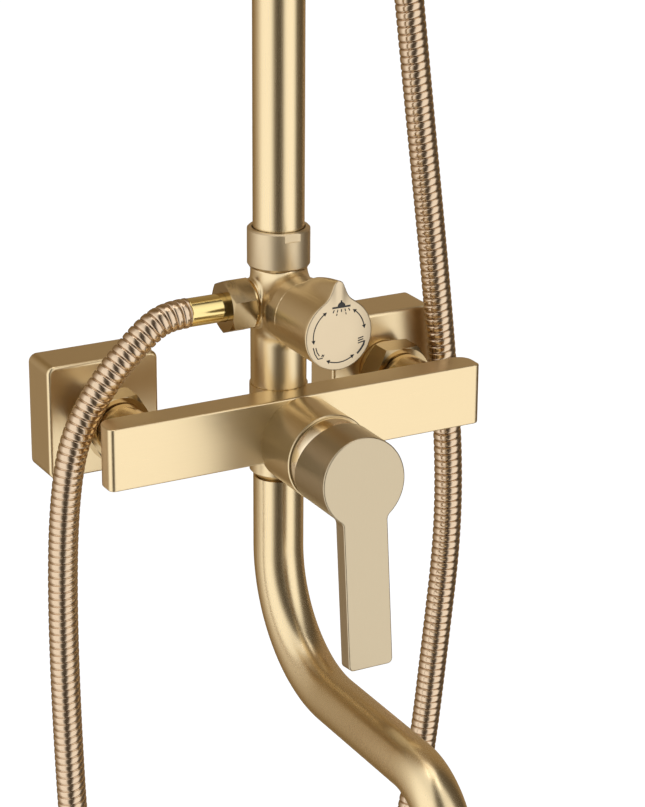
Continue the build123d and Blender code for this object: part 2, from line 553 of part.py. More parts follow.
with BuildPart() as diverter_cartridge:
    turn(knob_axis, rod(CARTRIDGE_BORE - SEAT_GAP, COLUMN_REACH - 3.9, FRONT_BOSS_END - 0.6))
    turn(knob_axis, rod(4.0 + RUN_GAP, COLUMN_REACH + 10, FRONT_BOSS_END + 1), Mode.SUBTRACT)
    turn(upright(), rod(4.0, KNOB_Z - 14, KNOB_Z + 14), Mode.SUBTRACT)
pieces["diverter_cartridge"] = diverter_cartridge

HUB_BACK = COLUMN_REACH + KNOB_BACK + 4
HUB_SOCKET_END = COLUMN_REACH + KNOB_FRONT - 12
with BuildPart() as diverter_spindle:
    turn(knob_axis, rod(4.0, COLUMN_REACH + 10.4, HUB_SOCKET_END - 0.2, 0.4))
pieces["diverter_spindle"] = diverter_spindle

with BuildPart() as diverter_knob:
    knob_low = COLUMN_REACH + KNOB_BACK
    knob_high = COLUMN_REACH + KNOB_FRONT
    turn(knob_axis, rod(KNOB_R, knob_low, knob_high, 0.7))
    # pointer fin: a narrow tongue with hollow flanks, lower towards the back
    fin_half, tip_half, fin_foot = 9.6, 2.4, 13.6
    with BuildSketch(facing(z=KNOB_Z, reach=knob_low)):
        with BuildLine():
            Line((-fin_half, 0), (fin_half, 0))
            Line((fin_half, 0), (fin_half, fin_foot))
            ThreePointArc((fin_half, fin_foot), (5.1, 17.6), (tip_half + 0.5, POINTER_R - 2.6))
            ThreePointArc((tip_half + 0.5, POINTER_R - 2.6), (0, POINTER_R),
                          (-tip_half - 0.5, POINTER_R - 2.6))
            ThreePointArc((-tip_half - 0.5, POINTER_R - 2.6), (-5.1, 17.6), (-fin_half, fin_foot))
            Line((-fin_half, fin_foot), (-fin_half, 0))
        make_face()
    extrude(amount=knob_high - knob_low)
    with BuildSketch(Plane(origin=(KNOB_R * 2, 0, KNOB_Z), x_dir=(0, -1, 0), z_dir=(-1, 0, 0))):
        with BuildLine():
            Polyline((knob_low, KNOB_R), (knob_low, -KNOB_R * 1.2), (knob_high, -KNOB_R * 1.2),
                     (knob_high, POINTER_R))
            ThreePointArc((knob_high, POINTER_R), (knob_low + 13.5, POINTER_R - 2.9),
                          (knob_low, KNOB_R))
        make_face()
    extrude(amount=KNOB_R * 4, mode=Mode.INTERSECT)
    turn(knob_axis, [(7.0, HUB_BACK), (7.0, knob_high - 7), (13.4, knob_high - 7),
                     (13.4, knob_low - 1), (0, knob_low - 1), (0, HUB_BACK)], Mode.SUBTRACT)
    turn(knob_axis, rod(4.0 + SEAT_GAP, HUB_BACK - 1, HUB_SOCKET_END), Mode.SUBTRACT)
    grub_reach = HUB_BACK + 5
    with BuildSketch(Plane.XY.offset(KNOB_Z - KNOB_R * 1.5)):
        with Locations((0, -grub_reach)):
            Circle(2.0 + SEAT_GAP)
    extrude(amount=KNOB_R * 1.5, mode=Mode.SUBTRACT)
pieces["diverter_knob"] = diverter_knob

with BuildPart() as knob_screw:
    turn(upright(reach=grub_reach, z=KNOB_Z), rod(2.0, -8.6, -4.0 - SEAT_GAP, 0.3))
pieces["knob_screw"] = knob_screw

# =============================================================== hose and its fittings
NUT_END = HOSE_NUT_START + HOSE_NUT_LENGTH
with BuildPart() as hose_nipple:
    turn(hose_axis, [(5.0, CARTRIDGE_BORE + 0.3), (6.0 - SEAT_GAP, CARTRIDGE_BORE + 0.3),
                     (6.0 - SEAT_GAP, OUTLET_BOSS_END), (OUTLET_RING_R - 0.5, OUTLET_BOSS_END),
                     (OUTLET_RING_R, OUTLET_BOSS_END + 0.5),
                     (OUTLET_RING_R, OUTLET_RING_END), (8.3, OUTLET_RING_END),
                     (8.3, HOSE_NUT_START + 6), (5.0, HOSE_NUT_START + 6)])
pieces["hose_nipple"] = hose_nipple

with BuildPart() as hose_washer:
    turn(hose_axis, ring(5.0, 8.2, HOSE_NUT_START + 6, HOSE_NUT_START + 7.5))
pieces["hose_washer"] = hose_washer

with BuildPart() as hose_nut:
    hex_nut(hose_axis, HOSE_NUT_AF, HOSE_NUT_START, NUT_END, HOSE_NUT_TURN)
    turn(hose_axis, rod(8.3 + SEAT_GAP, HOSE_NUT_START - 1, NUT_END - 2.5), Mode.SUBTRACT)
    turn(hose_axis, rod(FERRULE_R + 0.15, NUT_END - 3, NUT_END + 1), Mode.SUBTRACT)
pieces["hose_nut"] = hose_nut

FERRULE_END = NUT_END + FERRULE_LENGTH
with BuildPart() as hose_ferrule:
    turn(hose_axis, [(4.2, HOSE_NUT_START + 7.5), (8.2, HOSE_NUT_START + 7.5),
                     (8.2, HOSE_NUT_START + 9.4), (FERRULE_R, HOSE_NUT_START + 9.4),
                     (FERRULE_R, FERRULE_END - 0.4), (FERRULE_R - 0.4, FERRULE_END),
                     (4.2, FERRULE_END)])
pieces["hose_ferrule"] = hose_ferrule

hand = Plane(origin=(HOLDER_OFFSET, -COLUMN_REACH, SLIDER_Z), x_dir=(1, 0, 0),
             z_dir=(0, -cos(radians(HOLDER_LEAN)), -sin(radians(HOLDER_LEAN))))
CONE_LOW = -CONE_LENGTH / 2

hose_points = [
    (-47.0, -55.0, 56.0), (-56.0, -55.0, 56.0), (-65.3, -54.8, 51.7), (-74.0, -54.0, 43.3),
    (-84.5, -52.5, 32.0), (-94.5, -50.0, 16.5), (-102.5, -47.5, -3.0), (-106.5, -45.5, -35.0),
    (-108.0, -44.5, -80.0), (-107.5, -44.3, -142.0), (-105.0, -44.0, -212.0),
    (-97.0, -43.6, -278.0), (-72.0, -43.4, -318.0), (-30.0, -43.2, -340.0), (18.0, -43.0, -337.0),
    (57.0, -43.0, -308.0), (80.0, -43.0, -262.0), (90.0, -42.9, -205.0), (97.0, -42.3, -143.0),
    (104.0, -39.6, -92.0), (105.6, -36.5, -48.0), (102.6, -34.6, -5.0), (97.2, -34.0, 45.0),
    (84.3, -34.1, 145.0), (71.2, -33.2, 255.0), (57.6, -31.9, 365.0), (47.2, -31.6, 455.0),
    (40.6, -33.6, 515.0), (38.0, -38.788, 555.459), (38.0, -48.159, 581.206)]


def corner_radius(before, corner, after):
    """Largest tidy arc at a corner of the hose: 0.45 of the shorter run, over tan(half the turn)."""
    run_in = Vector(*corner) - Vector(*before)
    run_out = Vector(*after) - Vector(*corner)
    half_turn = radians(run_in.get_angle(run_out)) / 2
    return 0.45 * min(run_in.length, run_out.length) / tan(half_turn)


hose_radii = [corner_radius(*hose_points[i - 1:i + 2]) for i in range(1, len(hose_points) - 1)]
print("hose arc radii:", [round(radius, 1) for radius in hose_radii])

with BuildPart() as shower_hose:
    with BuildLine() as hose_route:
        FilletPolyline(*hose_points, radius=hose_radii)
    hose_line = hose_route.wires()[0]
    with BuildSketch(Plane(origin=hose_line @ 0, z_dir=hose_line % 0)):
        Circle(HOSE_D / 2)
    sweep()
pieces["shower_hose"] = shower_hose
print("hose length:", round(hose_line.length, 1), "volume / (section x length):",
      round(shower_hose.part.volume / (pi * HOSE_D ** 2 / 4 * hose_line.length), 5))

with BuildPart() as hose_cone:
    cone_high = CONE_LOW + CONE_LENGTH
    turn(hand, [(4.5, CONE_LOW), (CONE_END_R - 0.8, CONE_LOW), (CONE_END_R, CONE_LOW + 0.8),
                (CONE_TOP_R, cone_high - 0.6), (CONE_TOP_R - 0.6, cone_high),
                (8.3 + SEAT_GAP, cone_high), (8.3 + SEAT_GAP, cone_high - 10), (4.5, cone_high - 10)])
pieces["hose_cone"] = hose_cone

with BuildPart() as cone_washer:
    turn(hand, ring(5.0, 8.2, cone_high - 10, cone_high - 8.5))
pieces["cone_washer"] = cone_washer

# =============================================================== hand shower
handle_high = cone_high + HANDLE_LENGTH
spray_tilt = radians(15)
spray_centre = hand.origin + hand.y_dir * (handle_high + SPRAY_D / 2 - 14) + hand.z_dir * 9
spray_out = hand.z_dir * cos(spray_tilt) - hand.y_dir * sin(spray_tilt)
spray = Plane(origin=spray_centre, x_dir=(1, 0, 0), z_dir=spray_out)
with BuildPart() as handset_body:
    with BuildSketch(spray):
        Circle(SPRAY_D / 2)
    extrude(amount=SPRAY_DEPTH)
    fillet(handset_body.edges().filter_by(GeomType.CIRCLE).sort_by_distance(spray_centre)[:1], 5.0)
    turn(hand, [(0, cone_high + 0.1), (CONE_TOP_R + 0.4, cone_high + 0.1),
                (CONE_TOP_R + 1.2, cone_high + 20), (CONE_TOP_R + 2.0, handle_high + 8),
                (CONE_TOP_R, handle_high + 16), (CONE_TOP_R - 4, handle_high + 20),
                (0, handle_high + 21)])
    turn(hand, rod(8.3, cone_high - 8.5, cone_high + 1))
    turn(hand, rod(5.5, cone_high - 9, handle_high), Mode.SUBTRACT)
    with BuildSketch(spray.offset(SPRAY_DEPTH)):
        Circle(SPRAY_D / 2 - 3.0)
    extrude(amount=-9.5, mode=Mode.SUBTRACT)
pieces["handset_body"] = handset_body

FACE_SINK = 0.6
NOZZLE_R = 1.3


def nozzle_rings(spacing, rings):
    """Ring radii and counts of a spray pattern: one in the middle, then rings six more each."""
    return [(spacing * (number + 1), 6 * (number + 1)) for number in range(rings)]


def nozzle_circles(spacing, rings, radius):
    """Sketch circles of a whole spray pattern."""
    Circle(radius)
    for ring_radius, count in nozzle_rings(spacing, rings):
        with PolarLocations(ring_radius, count):
            Circle(radius)


with BuildPart() as handset_face:
    with BuildSketch(spray.offset(SPRAY_DEPTH - FACE_SINK)):
        Circle(SPRAY_D / 2 - 3.0 - SEAT_GAP)
        Circle(NOZZLE_R + SEAT_GAP, mode=Mode.SUBTRACT)
        for ring_radius, count in nozzle_rings(9.0, 4):
            with PolarLocations(ring_radius, count):
                Circle(NOZZLE_R + SEAT_GAP, mode=Mode.SUBTRACT)
    extrude(amount=-2.0)
pieces["handset_face"] = handset_face

with BuildPart() as handset_nozzles:
    with BuildSketch(spray.offset(SPRAY_DEPTH - FACE_SINK - 2.0)):
        Circle(SPRAY_D / 2 - 5.0)
    extrude(amount=-1.5)
    with BuildSketch(spray.offset(SPRAY_DEPTH - FACE_SINK - 2.2)):
        nozzle_circles(9.0, 4, NOZZLE_R)
    extrude(amount=3.4)
pieces["handset_nozzles"] = handset_nozzles

# =============================================================== slider
BUSH_WALL = 1.5
slider_r = TUBE_R + RUN_GAP + BUSH_WALL + SLIDER_WALL
slider_low, slider_high = -SLIDER_HEIGHT / 2, SLIDER_HEIGHT / 2
slider_axis = upright(z=SLIDER_Z)
slider_left = leftward(z=SLIDER_Z)
HOLDER_WALL = 4.0
HOLDER_HEIGHT = 24.0
HOLDER_SLOT = 15.0
with BuildPart() as slider_body:
    turn(slider_axis, rod(slider_r, slider_low, slider_high, 1.5))
    turn(slider_left, rod(8.5, TUBE_R, slider_r + 7, 0.5))
    turn(slider_left, rod(8.0, -HOLDER_OFFSET + CONE_TOP_R, -TUBE_R))
    turn(hand, rod(CONE_TOP_R + HOLDER_WALL, -HOLDER_HEIGHT / 2, HOLDER_HEIGHT / 2, 1.2))
    taper = (CONE_TOP_R - CONE_END_R) / (CONE_LENGTH - 1.4)
    cone_middle_r = CONE_END_R + taper * (CONE_LENGTH / 2 - 0.8) + SEAT_GAP
    reach_over = HOLDER_HEIGHT / 2 + 1
    turn(hand, [(0, -reach_over), (cone_middle_r - taper * reach_over, -reach_over),
                (cone_middle_r + taper * reach_over, reach_over), (0, reach_over)], Mode.SUBTRACT)
    with BuildSketch(Plane(origin=hand.origin - hand.y_dir * reach_over, x_dir=(1, 0, 0),
                           z_dir=hand.y_dir)):
        with Locations((0, -CONE_TOP_R * 1.5)):
            Rectangle(HOLDER_SLOT, CONE_TOP_R * 3)
    extrude(amount=2 * reach_over, mode=Mode.SUBTRACT)
    turn(slider_axis, rod(TUBE_R + RUN_GAP + BUSH_WALL + SEAT_GAP, slider_low - 1, slider_high + 1),
         Mode.SUBTRACT)
    turn(slider_left, rod(3.0 + RUN_GAP, TUBE_R, slider_r + 8), Mode.SUBTRACT)
pieces["slider_body"] = slider_body

with BuildPart() as slider_bush:
    turn(slider_axis, ring(TUBE_R + RUN_GAP, TUBE_R + RUN_GAP + BUSH_WALL,
                           slider_low + 0.5, slider_high - 0.5))
    turn(slider_left, rod(3.0 + FREE_GAP, TUBE_R - 1, TUBE_R + BUSH_WALL + 2), Mode.SUBTRACT)
pieces["slider_bush"] = slider_bush

with BuildPart() as slider_knob:
    knob_face = slider_r + 7 + FREE_GAP
    turn(slider_left, [(0, TUBE_R + FREE_GAP), (3.0, TUBE_R + FREE_GAP), (3.0, knob_face),
                       (11.0, knob_face), (11.0, knob_face + 11), (10.0, knob_face + 12),
                       (0, knob_face + 12)])
    with BuildSketch(Plane(origin=(-knob_face, -COLUMN_REACH, SLIDER_Z), x_dir=(0, 1, 0),
                           z_dir=(-1, 0, 0))):
        with PolarLocations(11.6, 12):
            Circle(1.3)
    extrude(amount=13, mode=Mode.SUBTRACT)
pieces["slider_knob"] = slider_knob

# =============================================================== riser and its bracket
with BuildPart() as riser_collar:
    turn(upright(), [(COLLAR_BORE_R, NECK_TOP), (COLLAR_R - 0.9, NECK_TOP),
                     (COLLAR_R, NECK_TOP + 1.4), (COLLAR_R, NECK_TOP + COLLAR_HEIGHT - 0.7),
                     (COLLAR_R - 0.7, NECK_TOP + COLLAR_HEIGHT),
                     (COLLAR_BORE_R, NECK_TOP + COLLAR_HEIGHT)])
    flat_inset = 0.55
    with BuildSketch(Plane.XY.offset(NECK_TOP + COLLAR_HEIGHT - 4.2)):
        for sign in SIDES.values():
            with Locations((0, -COLUMN_REACH + sign * (COLLAR_R - flat_inset + 2))):
                Rectangle(COLLAR_R, 4)
    extrude(amount=5, mode=Mode.SUBTRACT)
pieces["riser_collar"] = riser_collar

TUBE_SPLIT = COUPLING_Z + COUPLING_HEIGHT / 2
with BuildPart() as riser_lower:
    turn(upright(), ring(TUBE_R - TUBE_WALL, TUBE_R, RISER_START, TUBE_SPLIT - 0.5))
pieces["riser_lower"] = riser_lower

with BuildPart() as riser_seal:
    turn(upright(), ring(WATERWAY_R, TUBE_R - 0.5, RISER_START - 0.5, RISER_START))
pieces["riser_seal"] = riser_seal

with BuildPart() as riser_coupling:
    turn(upright(), [(TUBE_R + SEAT_GAP, COUPLING_Z), (COLLAR_R - 0.8, COUPLING_Z),
                     (COLLAR_R, COUPLING_Z + 0.8), (COLLAR_R, COUPLING_Z + COUPLING_HEIGHT - 0.8),
                     (COLLAR_R - 0.8, COUPLING_Z + COUPLING_HEIGHT),
                     (TUBE_R + SEAT_GAP, COUPLING_Z + COUPLING_HEIGHT)])
pieces["riser_coupling"] = riser_coupling

with BuildPart() as riser_upper:
    with BuildLine():
        FilletPolyline((0, -COLUMN_REACH, TUBE_SPLIT + 0.5), (0, -COLUMN_REACH, ARM_Z),
                       (0, -ARM_REACH, ARM_Z), (0, -ARM_REACH, ARM_Z - ARM_END_DROP),
                       radius=[ARM_BEND_R, ARM_DROP_R])
    with BuildSketch(Plane.XY.offset(TUBE_SPLIT + 0.5)):
        with Locations((0, -COLUMN_REACH)):
            Circle(TUBE_R)
            Circle(TUBE_R - TUBE_WALL, mode=Mode.SUBTRACT)
    sweep()
pieces["riser_upper"] = riser_upper

bracket_axis = outward(z=BRACKET_Z)
BRACKET_RING_R = TUBE_R + 5.5
POST_R = 8.0
PLATE_DEPTH = 5.0
with BuildPart() as bracket_plate:
    turn(bracket_axis, rod(19.0, 0, PLATE_DEPTH, 0.3))
    turn(bracket_axis, rod(6.0, PLATE_DEPTH - 1, PLATE_DEPTH + 10))
    with BuildSketch(facing(z=BRACKET_Z)):
        with GridLocations(BRACKET_SCREW_SPACING, 1, 2, 1):
            Circle(BRACKET_SCREW_R + BRACKET_NECK_STEP + 0.2)
    extrude(amount=PLATE_DEPTH + 1, mode=Mode.SUBTRACT)
pieces["bracket_plate"] = bracket_plate

with BuildPart() as bracket_flange:
    turn(bracket_axis, [(POST_R + SEAT_GAP, PLATE_DEPTH + 3.8), (19.2, PLATE_DEPTH + 3.8),
                        (19.2, 0.2), (BRACKET_FLANGE_D / 2, 0.2), (BRACKET_FLANGE_D / 2, 2.0),
                        (BRACKET_FLANGE_D / 2 - 2.5, PLATE_DEPTH + 4.6),
                        (POST_R + 3.0, PLATE_DEPTH + 6.0), (POST_R + SEAT_GAP, PLATE_DEPTH + 6.0)])
pieces["bracket_flange"] = bracket_flange

with BuildPart() as bracket_arm:
    turn(bracket_axis, rod(POST_R, PLATE_DEPTH, COLUMN_REACH - TUBE_R))
    turn(upright(z=BRACKET_Z), rod(BRACKET_RING_R, -10, 10, 1.2))
    turn(upright(z=BRACKET_Z), rod(TUBE_R + SEAT_GAP, -11, 11), Mode.SUBTRACT)
    turn(bracket_axis, rod(6.0 + SEAT_GAP, PLATE_DEPTH - 1, PLATE_DEPTH + 10.2), Mode.SUBTRACT)
    with BuildSketch(Plane(origin=(BRACKET_RING_R + 1, -COLUMN_REACH, BRACKET_Z), x_dir=(0, 1, 0),
                           z_dir=(-1, 0, 0))):
        Circle(2.0 + SEAT_GAP)
    extrude(amount=8, mode=Mode.SUBTRACT)
pieces["bracket_arm"] = bracket_arm

with BuildPart() as bracket_set_screw:
    turn(leftward(z=BRACKET_Z), rod(2.0, -BRACKET_RING_R + 0.4, -TUBE_R - SEAT_GAP, 0.3))
pieces["bracket_set_screw"] = bracket_set_screw

WALL_SCREW_LENGTH = 30.0
with BuildPart() as bracket_screws:
    for sign in SIDES.values():
        turn(outward(sign * BRACKET_SCREW_SPACING / 2, BRACKET_Z),
             [(0, -WALL_SCREW_LENGTH), (BRACKET_SCREW_R, -WALL_SCREW_LENGTH),
              (BRACKET_SCREW_R, 0), (BRACKET_SCREW_R + BRACKET_NECK_STEP, 0),
              (BRACKET_SCREW_R + BRACKET_NECK_STEP, PLATE_DEPTH), (4.2, PLATE_DEPTH),
              (3.4, PLATE_DEPTH + 2.4),
              (0, PLATE_DEPTH + 2.4)])
pieces["bracket_screws"] = bracket_screws

# =============================================================== rain head
head_axis = upright(reach=ARM_REACH, z=BALL_Z)
ARM_END = ARM_Z - ARM_END_DROP - BALL_Z
BALL_NECK_R = 6.5
SEAT_INNER = BALL_R + 0.35
SEAT_OUTER = BALL_R + 2.0
SOCKET_R = SEAT_OUTER + 0.35
NUT_TOP = 7.0
with BuildPart() as arm_ball:
    with BuildSketch(head_axis):
        with BuildLine():
            neck_low = (BALL_R ** 2 - BALL_NECK_R ** 2) ** 0.5
            Polyline((0, -BALL_R), (0, ARM_END + 8), (TUBE_R - TUBE_WALL - SEAT_GAP, ARM_END + 8),
                     (TUBE_R - TUBE_WALL - SEAT_GAP, ARM_END), (TUBE_R + 1, ARM_END),
                     (TUBE_R + 1, ARM_END - 7), (TUBE_R, ARM_END - 8), (BALL_NECK_R, ARM_END - 8),
                     (BALL_NECK_R, neck_low))
            ThreePointArc((BALL_NECK_R, neck_low), (BALL_R, 0), (0, -BALL_R))
        make_face()
    revolve(axis=Axis(head_axis.origin, head_axis.y_dir))
    turn(head_axis, rod(4.0, -BALL_R - 1, ARM_END + 9), Mode.SUBTRACT)
pieces["arm_ball"] = arm_ball


def sphere_at(radius, height):
    """Radius of a ball's section at a height from its centre."""
    return (radius ** 2 - height ** 2) ** 0.5


with BuildPart() as ball_seat:
    low, high = -8.0, -3.0
    with BuildSketch(head_axis):
        with BuildLine():
            Line((sphere_at(SEAT_INNER, low), low), (sphere_at(SEAT_OUTER, low), low))
            ThreePointArc((sphere_at(SEAT_OUTER, low), low),
                          (sphere_at(SEAT_OUTER, (low + high) / 2), (low + high) / 2),
                          (sphere_at(SEAT_OUTER, high), high))
            Line((sphere_at(SEAT_OUTER, high), high), (sphere_at(SEAT_INNER, high), high))
            ThreePointArc((sphere_at(SEAT_INNER, high), high),
                          (sphere_at(SEAT_INNER, (low + high) / 2), (low + high) / 2),
                          (sphere_at(SEAT_INNER, low), low))
        make_face()
    revolve(axis=Axis(head_axis.origin, head_axis.y_dir))
pieces["ball_seat"] = ball_seat

BALL_NUT_R = BALL_R + 6.5
NECK_BOSS_R = SOCKET_R + 1.4
with BuildPart() as ball_nut:
    opening = 5.2
    with BuildSketch(head_axis):
        with BuildLine():
            Polyline((NECK_BOSS_R + SEAT_GAP, 1.0), (NECK_BOSS_R + SEAT_GAP, -8.0),
                     (BALL_NUT_R, -8.0), (BALL_NUT_R, NUT_TOP - 3), (BALL_NUT_R - 3, NUT_TOP),
                     (sphere_at(SEAT_INNER, opening), NUT_TOP),
                     (sphere_at(SEAT_INNER, opening), opening))
            ThreePointArc((sphere_at(SEAT_INNER, opening), opening),
                          (sphere_at(SEAT_INNER, 3), 3), (sphere_at(SEAT_INNER, 1), 1))
            Line((sphere_at(SEAT_INNER, 1), 1), (NECK_BOSS_R + SEAT_GAP, 1.0))
        make_face()
    revolve(axis=Axis(head_axis.origin, head_axis.y_dir))
pieces["ball_nut"] = ball_nut

SHELL_WALL = 1.6
HEAD_TOP = -22.0
RIM_TOP = HEAD_TOP - 8.0
RIM_LOW = RIM_TOP - HEAD_RIM
HEAD_R = HEAD_D / 2
with BuildPart() as head_shell:
    with BuildSketch(head_axis):
        with BuildLine():
            Polyline((4.5, HEAD_TOP + 4), (4.5, -BALL_R - 1.8), (sphere_at(SOCKET_R, -11.0), -11.0))
            ThreePointArc((sphere_at(SOCKET_R, -11.0), -11.0), (sphere_at(SOCKET_R, -6.0), -6.0),
                          (SOCKET_R, 0.0))
            Polyline((SOCKET_R, 0.0), (SOCKET_R, 0.9), (NECK_BOSS_R, 0.9), (NECK_BOSS_R, -8.4),
                     (BALL_NUT_R + 0.5, -8.4), (BALL_NUT_R + 0.5, HEAD_TOP + 5))
            ThreePointArc((BALL_NUT_R + 0.5, HEAD_TOP + 5), (BALL_NUT_R + 3.0, HEAD_TOP + 1.2),
                          (BALL_NUT_R + 9, HEAD_TOP))
            Polyline((BALL_NUT_R + 9, HEAD_TOP), (HEAD_R - 12, RIM_TOP + 1.2))
            ThreePointArc((HEAD_R - 12, RIM_TOP + 1.2), (HEAD_R - 2.6, RIM_TOP - 1.4),
                          (HEAD_R, RIM_TOP - 4))
            Polyline((HEAD_R, RIM_TOP - 4), (HEAD_R, RIM_LOW), (HEAD_R - SHELL_WALL, RIM_LOW),
                     (HEAD_R - SHELL_WALL, RIM_TOP - 4.5), (HEAD_R - 14, RIM_TOP - 1.0),
                     (BALL_NUT_R + 8, HEAD_TOP - 2.2), (4.5, HEAD_TOP - 2.2), (4.5, HEAD_TOP + 4))
        make_face()
    revolve(axis=Axis(head_axis.origin, head_axis.y_dir))
pieces["head_shell"] = head_shell

HEAD_NOZZLE_PITCH = 13.5
HEAD_RINGS = 8
HEAD_NOZZLE_R = 1.6
face_low = Plane.XY.offset(BALL_Z + RIM_LOW)
with BuildPart() as head_face:
    with BuildSketch(face_low.offset(0.6)):
        with Locations((0, -ARM_REACH)):
            Circle(HEAD_R - SHELL_WALL - SEAT_GAP)
        with Locations((0, -ARM_REACH)):
            Circle(HEAD_NOZZLE_R + SEAT_GAP, mode=Mode.SUBTRACT)
            for ring_radius, count in nozzle_rings(HEAD_NOZZLE_PITCH, HEAD_RINGS):
                with PolarLocations(ring_radius, count):
                    Circle(HEAD_NOZZLE_R + SEAT_GAP, mode=Mode.SUBTRACT)
    extrude(amount=1.5)
pieces["head_face"] = head_face

with BuildPart() as head_nozzles:
    with BuildSketch(face_low.offset(2.1)):
        with Locations((0, -ARM_REACH)):
            Circle(HEAD_R - SHELL_WALL - 2)
    extrude(amount=1.4)
    with BuildSketch(face_low.offset(-1.2)):
        with Locations((0, -ARM_REACH)):
            nozzle_circles(HEAD_NOZZLE_PITCH, HEAD_RINGS, HEAD_NOZZLE_R)
    extrude(amount=3.6)
pieces["head_nozzles"] = head_nozzles

# =============================================================== write every piece
os.makedirs("parts", exist_ok=True)
for name, piece in pieces.items():
    piece.part.label = name
    export_step(piece.part, f"parts/{name}.step")
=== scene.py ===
"""Looks of the wall-mounted shower column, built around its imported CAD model."""
import math

import bmesh
import bpy
import numpy as np
from mathutils import Matrix, Vector


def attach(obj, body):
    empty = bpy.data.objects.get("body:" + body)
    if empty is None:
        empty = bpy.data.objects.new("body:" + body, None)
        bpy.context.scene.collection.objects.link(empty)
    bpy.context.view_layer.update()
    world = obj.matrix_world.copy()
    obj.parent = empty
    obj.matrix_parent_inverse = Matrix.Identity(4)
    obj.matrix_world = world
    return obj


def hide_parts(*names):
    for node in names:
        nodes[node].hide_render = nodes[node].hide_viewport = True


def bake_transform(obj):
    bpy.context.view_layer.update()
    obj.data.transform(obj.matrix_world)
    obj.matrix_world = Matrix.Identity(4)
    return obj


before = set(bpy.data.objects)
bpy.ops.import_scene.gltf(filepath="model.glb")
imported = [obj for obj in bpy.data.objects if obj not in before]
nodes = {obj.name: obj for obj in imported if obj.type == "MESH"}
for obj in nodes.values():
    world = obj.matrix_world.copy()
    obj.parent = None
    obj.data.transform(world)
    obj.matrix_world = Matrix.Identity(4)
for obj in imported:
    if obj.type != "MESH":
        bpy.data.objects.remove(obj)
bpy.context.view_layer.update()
MM = 0.001

# ---------------------------------------------------------------- camera
CAMERA_AZIMUTH = math.radians(-28.448)
CAMERA_ELEVATION = math.radians(20.496)
CAMERA_ROLL = math.radians(0.391)
CAMERA_DISTANCE = 1.278
CAMERA_TARGET = Vector((0.02355, -0.055, -0.00015))
CAMERA_LENS = 120.1


def make_camera():
    a, e, r = CAMERA_AZIMUTH, CAMERA_ELEVATION, CAMERA_ROLL
    back = Vector((math.sin(a) * math.cos(e), -math.cos(a) * math.cos(e), math.sin(e)))
    right = Vector((math.cos(a), math.sin(a), 0))
    up = back.cross(right)
    x = right * math.cos(r) + up * math.sin(r)
    y = -right * math.sin(r) + up * math.cos(r)
    data = bpy.data.cameras.new("camera")
    data.lens, data.sensor_width = CAMERA_LENS, 36.0
    data.clip_start, data.clip_end = 0.05, 60
    camera = bpy.data.objects.new("camera", data)
    bpy.context.scene.collection.objects.link(camera)
    turn = Matrix((x, y, back)).transposed().to_4x4()
    camera.matrix_world = Matrix.Translation(CAMERA_TARGET + back * CAMERA_DISTANCE) @ turn
    bpy.context.scene.camera = camera


make_camera()

# ---------------------------------------------------------------- studio
bpy.context.scene.view_settings.view_transform = "Standard"

# The studio by the angle from the camera's side, as (angle, brightness, warmth): two softboxes
# with a dark gap between them, and a dim, warm room behind.
STUDIO_BANDS = [
    (-180, 0.33, 0.70), (-150, 0.21, 0.95), (-137, 0.25, 0.90), (-123, 0.35, 0.65),
    (-103, 0.56, 0.35), (-88, 0.90, 0.15), (-78, 1.26, 0.0), (-32, 1.31, 0.0), (-15, 0.15, 0.4),
    (0, 0.07, 0.45), (17, 0.13, 0.4), (31, 1.29, 0.0), (70, 1.35, 0.0), (86, 0.14, 0.45),
    (122, 0.10, 0.6), (146, 0.34, 0.8), (180, 0.33, 0.70)]
STUDIO_HEIGHTS = [(-90, 0.80), (-35, 1.00), (30, 1.00), (55, 0.80), (90, 1.10)]


def warmed(brightness, warmth):
    return (brightness * (1 + 0.08 * warmth), brightness * (0.985 - 0.28 * warmth),
            brightness * (0.95 - 0.66 * warmth))


class Nodes:
    """Short hand for building a node tree."""

    def __init__(self, tree):
        self.tree = tree

    def add(self, kind, **settings):
        node = self.tree.nodes.new(kind)
        for key, value in settings.items():
            setattr(node, key, value)
        return node

    def link(self, source, target):
        self.tree.links.new(source, target)

    def math(self, operation, a, b=None):
        node = self.add("ShaderNodeMath", operation=operation)
        for socket, value in zip(node.inputs, (a, b)):
            if isinstance(value, (int, float)):
                socket.default_value = value
            elif value is not None:
                self.link(value, socket)
        return node.outputs[0]

    def ramp(self, factor, stops, interpolation="LINEAR"):
        node = self.add("ShaderNodeValToRGB")
        node.color_ramp.interpolation = interpolation
        elements = node.color_ramp.elements
        while len(elements) < len(stops):
            elements.new(0.5)
        for element, (position, colour) in zip(elements, stops):
            element.position = position
        for element, (position, colour) in zip(elements, stops):
            element.color = (*colour, 1) if hasattr(colour, "__len__") else (colour,) * 3 + (1,)
        self.link(factor, node.inputs[0])
        return node.outputs[0]


